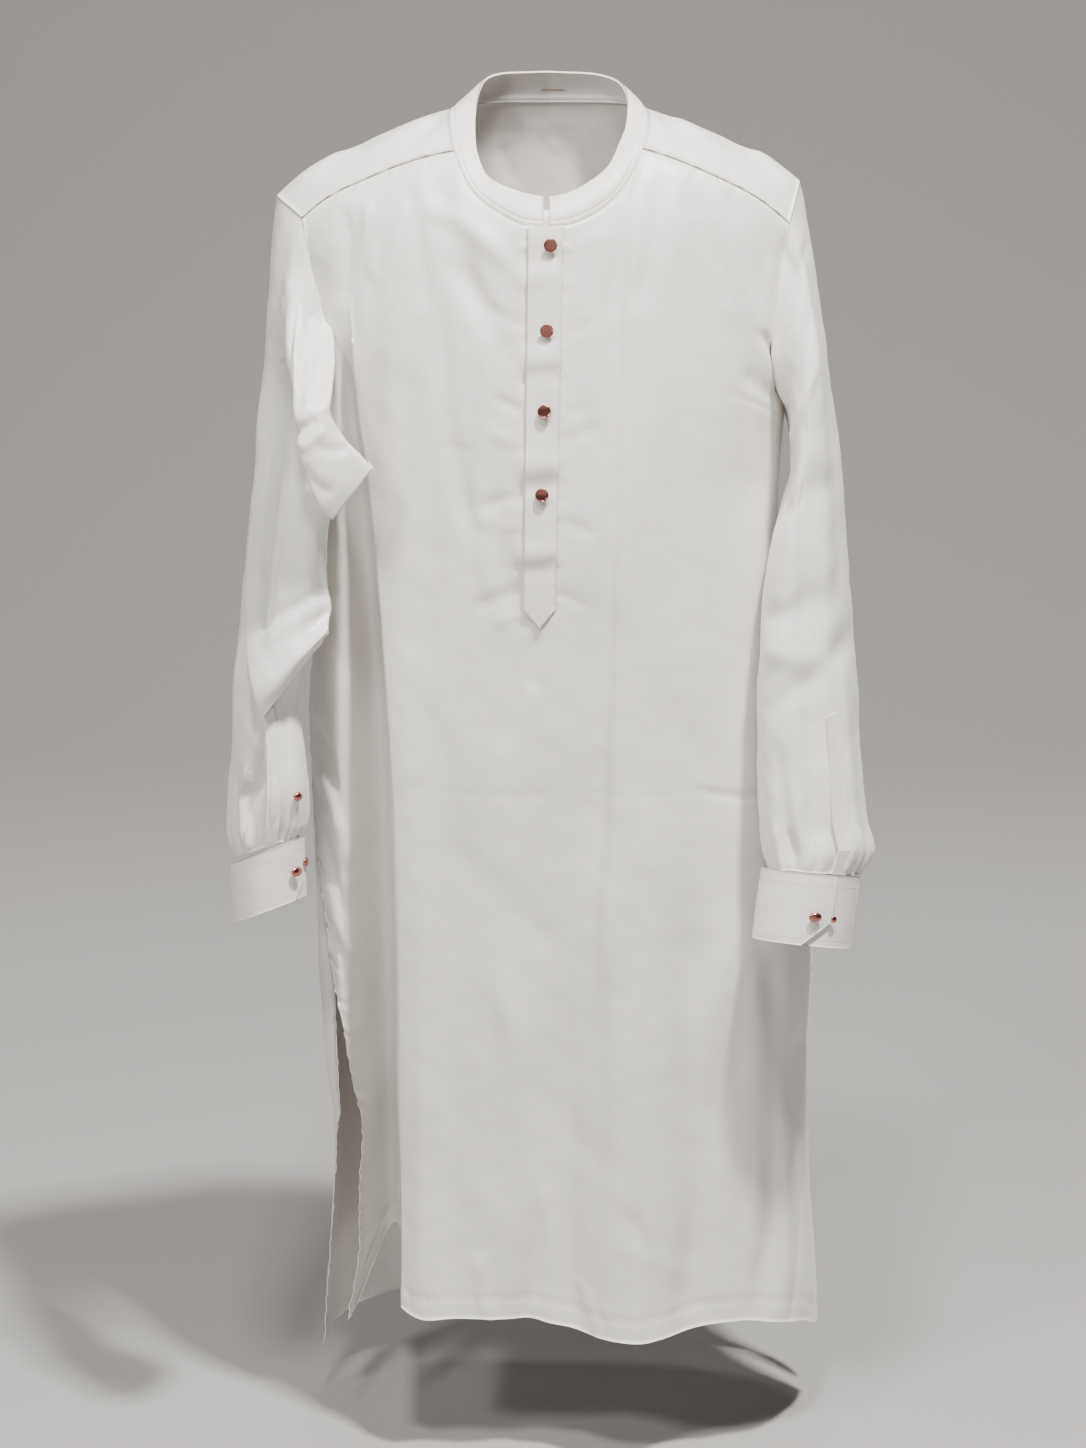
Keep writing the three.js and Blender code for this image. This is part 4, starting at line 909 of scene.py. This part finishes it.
def stitches(name, lines, length=2.1, pitch=3.0, radius=0.32, lift=0.12):
    """Short beads along lines; each line is its points and its outward normals."""
    verts, faces, base = [], [], 0
    for points, normals in lines:
        run = np.concatenate([[0], np.cumsum(np.linalg.norm(np.diff(points, axis=0), axis=1))])
        at = np.arange(pitch / 2, run[-1] - pitch / 2, pitch)
        centre, normal = along_line(points, run, at), unit(along_line(normals, run, at))
        tangent = unit(along_line(points, run, at + 0.5) - along_line(points, run, at - 0.5))
        side = np.cross(normal, tangent)
        frame_axes = np.stack([tangent * length / 2, side * radius, normal * radius], 1)
        shape = np.einsum("vk,nkc->nvc", BEAD, frame_axes) + (centre + normal * lift)[:, None]
        verts.append(shape.reshape(-1, 3))
        tri = BEAD_FACES[:, :3][None] + (np.arange(len(at)) * len(BEAD))[:, None, None] + base
        faces.append(tri.reshape(-1, 3))
        base += len(at) * len(BEAD)
    return add_triangles(name, np.concatenate(verts), np.concatenate(faces))


def inset_line(grid, side, inset):
    """Line that keeps a distance in from one side of a grid: top, foot, right (first column), left."""
    normals = grid_normals(grid)
    if side in ("top", "foot"):
        grid, normals = np.swapaxes(grid, 0, 1), np.swapaxes(normals, 0, 1)
    if side in ("foot", "left"):
        grid, normals = grid[:, ::-1], normals[:, ::-1]
    run = np.cumsum(np.linalg.norm(np.diff(grid, axis=1), axis=2), axis=1)
    at = np.argmax(run > inset, axis=1)
    rows = np.arange(len(grid))
    before = np.where(at > 0, run[rows, at - 1], 0)
    t = ((inset - before) / np.maximum(run[rows, at] - before, 1e-6))[:, None]
    points = mix(grid[rows, at], grid[rows, at + 1], t)
    return points, normals[rows, at]


def edge_distance(grid, side):
    """Distance of every grid point from one side, measured on the grid."""
    flip = {"top": (0, 1), "foot": (0, -1), "right": (1, 1), "left": (1, -1)}[side]
    g = grid[::-1] if flip == (0, -1) else grid[:, ::-1] if flip == (1, -1) else grid
    steps = np.linalg.norm(np.diff(g, axis=flip[0]), axis=2)
    run = np.cumsum(steps, axis=flip[0])
    zero = np.zeros_like(run[:1]) if flip[0] == 0 else np.zeros_like(run[:, :1])
    run = np.concatenate([zero, run], flip[0])
    return run[::-1] if flip == (0, -1) else run[:, ::-1] if flip == (1, -1) else run


def seam_roll(grid, *sides, depth=0.9, width=2.2):
    """Pulls the grid in along its seamed sides, where the seam draws the cloth down."""
    pull = sum(depth * bell(edge_distance(grid, side), width) for side in sides)
    return shift(grid, -pull)


# ---------------------------------------------------------------- the cloth
# Soft crown at the outer end of each shoulder: place across, place down, how far it lifts.
CROWNS = np.array([[-203, -56, 7.5], [191, -46, 6]], float)


def crowned(grid):
    """Lifts the cloth by a round bell over each shoulder tip, by place alone, so that seams stay shut."""
    x, z = grid[..., 0], grid[..., 2]
    lift = sum(up * bell(x - across, 38) * bell(z - down, 42) for across, down, up in CROWNS)
    return grid + lift[..., None] * np.array([0, 0, 1.0])


def pressed_line(x, z):
    """Long pressed line down the front, steep on its right side and easing out over a hand's width."""
    line = curve(PRESSED_LINE, 1, z)
    away = np.maximum(line - x, 0)
    ends = smooth((-58 - z) / 60) * smooth((z + 760) / 200)
    return 5.5 * smooth(away / 9) * np.exp(-(away / 36) ** 2) * ends


def front_sink(p):
    """All the creases of the front at points of it, placket included."""
    x, z = p[..., 0], p[..., 2]
    sag = 0.8 * ripple(p, 85, 1) + 0.22 * ripple(p, 27, 2)
    return 1.45 * creases(FRONT_CREASES, x, z) + pressed_line(x, z) + sag


TOP_ROWS = 24
front = soften(front_grid(TOP_ROWS, 236), TOP_ROWS, 8)
x, z = front[..., 0], front[..., 2]
top, foot = edge_distance(front, "top"), edge_distance(front, "foot")
right, left = edge_distance(front, "right"), edge_distance(front, "left")
beside = np.minimum(*[np.abs(x - placket_edge(side, z)) for side in ("right", "left")])
sink = front_sink(front) * smooth(top / 14)
sink += 0.75 * puckers(z, beside, 8, 0.2, 0.7) * (z > PLACKET["point"])
sink += 0.8 * puckers(x, top, 13, 0.4, 1.9) * smooth((np.abs(x) - 80) / 12) * smooth(top / 5)
sink += 1.5 * puckers(z, right, 15, 0.7, 0.3) * smooth((-430 - z) / 60)
sink += 0.9 * puckers(z, left, 13, 0.6, 1.2) * smooth((-380 - z) / 60)
sink += 0.9 * puckers(x, np.abs(foot - 14), 9, 0.3, 2.2) + 0.8 * bell(foot - HEM, 1.7)
front = crowned(seam_roll(shift(front, -sink), "top"))
front_piece = dress(shell("front_panel", front, 0.7), CLOTH, "cloth", "front")

back = back_grid(220)
x, z = back[..., 0], back[..., 2]
top, foot = edge_distance(back, "top"), edge_distance(back, "foot")
right, left = edge_distance(back, "right"), edge_distance(back, "left")
inner = smooth(top / 20) * smooth(np.minimum(left, right) / 24)
sink = (creases(BACK_CREASES, x, z) + 0.9 * ripple(back, 90, 3)) * inner + 0.25 * ripple(back, 28, 4)
sink += 1.5 * puckers(z, right, 15, 0.7, 0.3) * smooth((-430 - z) / 60)
sink += 1.0 * puckers(z, left, 15, 0.7, 1.3) * smooth((-380 - z) / 60)
sink += 0.9 * puckers(x, np.abs(foot - 14), 9, 0.3, 0.2) + 0.8 * bell(foot - HEM, 1.7)
back = crowned(seam_roll(shift(back, -sink), "top"))
back_piece = dress(shell("back_panel", back, 0.7), CLOTH, "cloth", "back")

yoke_parts = []
for number, part in enumerate(yoke_grid()):
    grid = part[:, ::-1] if number == 1 else part
    sink = 0.5 * ripple(grid, 60, 6) + creases(YOKE_CREASES, grid[..., 0], grid[..., 2] + 0.5 * grid[..., 1])
    fade = np.minimum(edge_distance(grid, "top"), edge_distance(grid, "foot"))
    fade = np.minimum(fade, np.minimum(edge_distance(grid, "right"), edge_distance(grid, "left")))
    sink = sink * smooth(fade / 12)
    if number < 2:
        sink += 0.8 * puckers(grid[..., 0], edge_distance(grid, "top"), 9, 0.3, 0.8)
        seam = edge_distance(grid, "top")
        sink -= 0.45 * (1 - smooth(seam / 5)) - 0.5 * bell(seam - 7, 2)
    yoke_parts.append(crowned(shift(grid, -sink)))
# The yoke's third part lies behind the neck and joins each shoulder part from this row down.
half_over = yoke_parts[2].shape[0] - 1
yoke_joins = [((0, np.s_[half_over:, -1]), (2, np.s_[:, 0])), ((1, np.s_[half_over:, 0]), (2, np.s_[:, -1]))]
yoke_piece = dress(shell("yoke_panel", yoke_parts, 0.7, False, yoke_joins), CLOTH, "cloth", "yoke")

collar = collar_grid(300, 40)
collar = shift(collar, 0.35 * ripple(collar, 45, 7) - 0.5 * bell(edge_distance(collar, "foot") - 4, 1.2))
under = collar_under()
collar_piece = dress(shell("collar_band", [collar, under], 1.9), CLOTH, "cloth", "collar")

sleeve_grids = {}
for side, table, marks in (("left", LEFT_SLEEVE, LEFT_CREASES), ("right", RIGHT_SLEEVE, RIGHT_CREASES)):
    grid, angles, index = sleeve_grid(side, table, 210, 144)
    sink = sleeve_creases(marks, grid, angles, index) + 0.8 * ripple(grid, 70, 8) + 0.3 * ripple(grid, 24, 9)
    foot = edge_distance(grid, "foot")
    around = np.broadcast_to(angles * 0.75, foot.shape)
    sink += (0.9 if side == "left" else 1.5) * puckers(around, foot, 30, 0.05, 0.9 if side == "left" else 2.3)
    sink *= smooth(edge_distance(grid, "top") / 12)
    if side == "right":
        x, z = grid[..., 0], grid[..., 2]
        slit = [curve(SLEEVE_SLIT, c, z) for c in (1, 2, 3)]
        mouth = smooth((x - slit[0]) / 3.5) * smooth((slit[1] - x) / 3.5)
        facing = smooth((70 - np.abs(angles[None, :] + 30)) / 40)
        sink += slit[2] * mouth * facing
        grid, sink = grid[:, ::-1], sink[:, ::-1]
    sleeve_grids[side] = crowned(shift(grid, -sink))
folds = []
for table, rows, free, lift in ((UPPER_FOLD, 130, (0.3, 0.62), 5), (LOWER_FOLD, 150, (0.5, 0.85), 9)):
    fold = fold_grid(table, sleeve_grids["right"], 50, rows, free, lift, 10.0)
    sink = creases(FOLD_CREASES, fold[..., 0], fold[..., 2])
    folds.append(shift(fold, 0.5 * ripple(fold, 45, 10) + 0.2 * ripple(fold, 18, 11) - sink))
sleeve_left = shell("sleeve_panel_left", sleeve_grids["left"], 0.7, True)
dress(sleeve_left, CLOTH, "cloth", "sleeve_left")
sleeve_right = shell("sleeve_panel_right", [sleeve_grids["right"], *folds], 0.7, [True, False, False])
dress(sleeve_right, CLOTH, "cloth", "sleeve_right")

cuff_pieces = {}
for name in CUFFS:
    cuff_pieces[name] = dress(shell(name + "_band", cuff_grid(name, 240, 40), 1.5), CLOTH, "cloth", name)

placket = placket_grid(TOP_ROWS, 110)
soften(placket, TOP_ROWS, 8)
run = np.linspace(0, 1, placket.shape[1])[None, :]
z = placket[..., 2]
between = np.abs((z[..., None] - BUTTON_LEVELS)).min(-1)
lift = 1.7 + 2.2 * (1 - smooth(run * 3)) - front_sink(placket) * smooth(edge_distance(placket, "top") / 14)
lift = (lift + 0.9 * smooth(between / 30) * np.sin(np.pi * run)
        + 0.25 * puckers(z, (1 - run) * 28, 6, 0.2, 1.1))
lift = lift - 0.6 * bell(edge_distance(placket, "left") - 2.2, 0.9) - 0.7 * bell(z + 373, 1.2)
placket = shift(placket, lift)
placket_piece = dress(shell("placket_strip", placket, 1.0), CLOTH, "cloth", "placket")

for name in ("sleeve_placket_left", "sleeve_placket_right"):
    frame["nodes"][name].data.materials.clear()
    frame["nodes"][name].data.materials.append(CLOTH)


# ---------------------------------------------------------------- fittings
def turned(name, profile, centre, facing, sides=40, squash=(1, 1)):
    """A turned piece: half profile of (radius, height) round a facing direction."""
    facing = unit(np.array(facing, float))
    across = unit(np.cross(facing, [0, 0, 1.0]))
    up = np.cross(across, facing)
    a = np.linspace(0, 2 * np.pi, sides, endpoint=False)
    r, h = np.array(profile, float).T
    ring = (np.cos(a)[:, None] * across * squash[0] + np.sin(a)[:, None] * up * squash[1])
    verts = r[:, None, None] * ring[None] + h[:, None, None] * facing + np.array(centre, float)
    n, m = len(r), sides
    i, k = np.meshgrid(np.arange(n - 1), np.arange(m), indexing="ij")
    a0, a1 = i * m + k, i * m + (k + 1) % m
    quads = np.stack([a0, a1, a1 + m, a0 + m], -1).reshape(-1, 4)
    return add_mesh(name, verts.reshape(-1, 3), quads, np.zeros((n * m, 2)))


BUTTON_FACE = [(0.001, -1.6), (2.2, -1.6), (2.2, 0.2), (4.6, 0.3), (5.5, 0.75), (5.75, 1.35), (5.5, 1.95),
               (5.05, 2.15), (4.8, 2.0), (4.5, 1.93), (0.001, 1.9)]
for number, lean in enumerate([(0.10, 0.04), (0.04, 0.0), (-0.05, 0.30), (0.02, 0.26)], 1):
    name = f"button_{number}"
    low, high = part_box(name)
    centre = np.array([(low[0] + high[0]) / 2, high[1] - 0.0017, (low[2] + high[2]) / 2]) / MM
    disc = turned(name + "_disc", BUTTON_FACE, centre, (lean[0], -1, lean[1]))
    dress(disc, METAL_AND_PAINTED_REFLECTION, "fittings", name)

HEAD = [(0.001, -2.6), (1.7, -2.6), (1.7, 0), (3.6, 0.1), (5.0, 0.7), (5.6, 1.7), (5.1, 2.8), (3.8, 3.5),
        (2.0, 3.9), (0.001, 4.0)]
for name, way in (("cufflink_left", 8), ("cufflink_right", 42), ("sleeve_button", 35)):
    low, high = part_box(name)
    way = math.radians(way)
    out = np.array([math.sin(way), -math.cos(way), 0.1])
    centre = np.array(low + high) / 2 / MM - out * 0.6
    size = (1.0, 0.74) if name != "sleeve_button" else (0.8, 0.7)
    dress(turned(name + "_head", HEAD, centre, out, squash=size), METAL_AND_PAINTED_REFLECTION, "fittings", name)


# Far end of each link, a smaller head beside the first: angle round the cuff, share of its depth, size.
FAR_ENDS = {"cuff_left": (27, 0.6, 0.52), "cuff_right": (71, 0.43, 0.72)}
for name, (way, down, size) in FAR_ENDS.items():
    share = (way + 360 - CUFFS[name][-1]) / (360 + CUFF_LAP)
    foot = cuff_point(name, share, down, 0.4)
    way = math.radians(way)
    head = [(r * size, h * size) for r, h in HEAD]
    out = (math.sin(way), -math.cos(way), 0.1)
    dress(turned(name.replace("cuff", "cufflink") + "_far_end", head, foot, out), METAL_AND_PAINTED_REFLECTION, "fittings")


# ---------------------------------------------------------------- sewing
def sewn(name, lines, **options):
    made = stitches(name, lines, **options)
    dress(made, THREAD, "cloth")
    return made


cross = np.argmin(np.abs(placket[:, 14, 2] + 373))
cross_line = (placket[cross, 2:-2], grid_normals(placket)[cross, 2:-2])
placket_thread = sewn("placket_stitches", [inset_line(placket, "left", 1.6), cross_line,
                                            inset_line(placket, "foot", 1.8)], pitch=2.9)
front_thread = sewn("front_hem_stitches", [inset_line(front, "foot", HEM)], pitch=3.4, radius=0.28)
back_thread = sewn("back_hem_stitches", [inset_line(back, "foot", HEM)], pitch=3.4, radius=0.28)
yoke_lines = [inset_line(grid, "top", 2.4) for grid in yoke_parts[:2]]
yoke_thread = sewn("yoke_stitches", yoke_lines, pitch=3.0, radius=0.26)
collar_thread = sewn("collar_stitches", [inset_line(collar, "foot", 1.6)], radius=0.24)


def buttonhole(name, grid, level, ends, wall):
    """Worked slot on the inner face of a band, on its far side: a dark line of painted shade in the slit,
    with a bar tack at each end.
    """
    inner = grid - grid_normals(grid) * (wall + 0.25)
    far = grid[0, :, 1] > 30
    row = np.argmin(np.abs(grid[:, np.argmax(far & (grid[0, :, 0] < 4)), 2] - level))
    line, facing = inner[row], -grid_normals(grid)[row]
    keep = far & (line[:, 0] > ends[0]) & (line[:, 0] < ends[1])
    slot = stitches(name, [(line[keep], facing[keep])], length=3.0, pitch=1.0, radius=0.55)
    bars = []
    for x in ends:
        k = np.argmin(np.abs(line[:, 0] - x) + 1e3 * ~far)
        bars.append((inner[row - 1:row + 3, k], -grid_normals(grid)[row - 1:row + 3, k]))
    tacks = stitches(name + "_tacks", bars, length=1.6, pitch=0.8, radius=0.5)
    return dress(slot, SLIT_SHADE, "cloth"), dress(tacks, THREAD, "cloth")


collar_slit_shade_and_tacks = buttonhole("collar_buttonhole", collar, 19, (-8, 15), 1.9)
cuff_threads = {}
for name in CUFFS:
    grid = cuff_grid(name, 240, 40)
    insets = (("top", 9), ("top", 1.5), ("foot", 6), ("left", 1.8))
    lines = [inset_line(grid, side, inset) for side, inset in insets]
    cuff_threads[name] = sewn(name + "_stitches", lines, radius=0.24)


# ---------------------------------------------------------------- cut sizes
def cut(piece, grid, held, rests_on, *on_it, flat=None):
    """Works out a sheet's flat width and length, the longest runs of its first grid, and its area, all of its
    grids'; it keeps none of them."""
    grids = grid if isinstance(grid, list) else [grid]
    steps = [(np.diff(g, axis=0), np.diff(g, axis=1)) for g in grids]
    area = sum(np.linalg.norm(np.cross(down[:, :-1], across[:-1]), axis=2).sum() for down, across in steps)
    down, across = steps[0]
    wide, long = np.linalg.norm(across, axis=2).sum(1).max(), np.linalg.norm(down, axis=2).sum(0).max()
    flat = flat or (round(wide * MM, 3), round(long * MM, 3))
    area = min(round(area * MM * MM, 4), flat[0] * flat[1])


def closed_ring(grid):
    return np.concatenate([grid, grid[:, :1]], 1)


# The yoke's cut: from shoulder to shoulder, and from its front seam over to its back seam.
YOKE_CUT = (0.50, 0.19)
nodes = frame["nodes"]
LINKS = ("cufflink_left", "cufflink_right", "sleeve_button")
heads = {name: bpy.data.objects[name + "_head"] for name in LINKS}
discs = [bpy.data.objects[f"button_{n}_disc"] for n in range(1, 5)]
cut(yoke_piece, yoke_parts, "draped", (), yoke_thread, flat=YOKE_CUT)
cut(front_piece, front, "hung", [yoke_piece], front_thread)
cut(back_piece, back, "hung", [yoke_piece], back_thread)
cut(collar_piece, [collar, under], "folded", [yoke_piece], collar_thread, *collar_slit_shade_and_tacks)
cut(placket_piece, placket, "laid", [front_piece], placket_thread, *discs)
cut(sleeve_left, closed_ring(sleeve_grids["left"]), "hung", [yoke_piece], nodes["sleeve_placket_left"])
cut(sleeve_right, [closed_ring(sleeve_grids["right"]), *folds], "hung", [yoke_piece],
    nodes["sleeve_placket_right"], heads["sleeve_button"])
for side, sleeve in (("left", sleeve_left), ("right", sleeve_right)):
    name = "cuff_" + side
    cut(cuff_pieces[name], cuff_grid(name, 240, 40), "folded", [sleeve], cuff_threads[name],
        heads["cufflink_" + side], bpy.data.objects[f"cufflink_{side}_far_end"])

# ---------------------------------------------------------------- stage
FLOOR = -1.172
BEND = 2.2                     # radius of the bend from floor to backdrop


def backdrop():
    """One wide sheet: level floor, a quarter bend, then an upright backdrop behind the garment."""
    turn = np.radians(np.linspace(0, 90, 25))
    y = np.concatenate([[-6], 2.4 + BEND * np.sin(turn), [2.4 + BEND]])
    z = np.concatenate([[0], BEND * (1 - np.cos(turn)), [9]]) + FLOOR
    rows = np.stack([np.stack([np.full(len(y), x), y, z], -1) for x in (-11.0, 11.0)], 1)
    verts = rows.reshape(-1, 3)
    n = np.arange(len(y) - 1) * 2
    made = add_mesh("backdrop", verts / MM, np.stack([n, n + 1, n + 3, n + 2], -1), np.zeros((len(verts), 2)))
    made.data.materials.append(plain_material("paper", (0.36, 0.35, 0.34), 0.85))


backdrop()


def lamp(name, place, aim, size, power, colour=(1, 1, 1)):
    data = bpy.data.lights.new(name, "AREA")
    data.shape = "RECTANGLE"
    data.size, data.size_y = size
    data.energy = power
    data.color = colour
    made = bpy.data.objects.new(name, data)
    made.location = place
    made.rotation_euler = (Vector(aim) - Vector(place)).to_track_quat("-Z", "Y").to_euler()
    bpy.context.scene.collection.objects.link(made)


lamp("key", (0.82, -1.08, 2.9), (0.02, 0, -0.35), (0.26, 0.26), 290, (1.0, 0.975, 0.945))
lamp("second", (-0.25, -1.75, 2.75), (0, 0, -0.3), (0.4, 0.4), 92, (1.0, 0.975, 0.95))
lamp("third", (-1.7, -1.9, 1.7), (0, 0, -0.5), (0.5, 0.5), 52, (1.0, 0.97, 0.945))
lamp("fill", (0.3, -3.6, -0.2), (0, 0, -0.6), (2.6, 2.0), 9, (1.0, 0.97, 0.95))
lamp("low", (-1.3, -2.3, -0.75), (-0.17, 0, -0.85), (0.6, 0.6), 9, (1.0, 0.97, 0.95))
lamp("back", (0.5, 1.6, 2.2), (0, 0, -0.2), (1.2, 0.8), 22)
world = bpy.data.worlds.new("world")
world.use_nodes = True
world.node_tree.nodes["Background"].inputs[0].default_value = (0.66, 0.65, 0.64, 1)
world.node_tree.nodes["Background"].inputs[1].default_value = 0.15
bpy.context.scene.world = world

view = bpy.data.cameras.new("view")
view.lens = 81
camera = bpy.data.objects.new("view", view)
camera.location = (-0.005, -2.8, 0.15)
camera.rotation_euler = (math.radians(90 - 13.66), 0, 0)
bpy.context.scene.collection.objects.link(camera)
bpy.context.scene.camera = camera
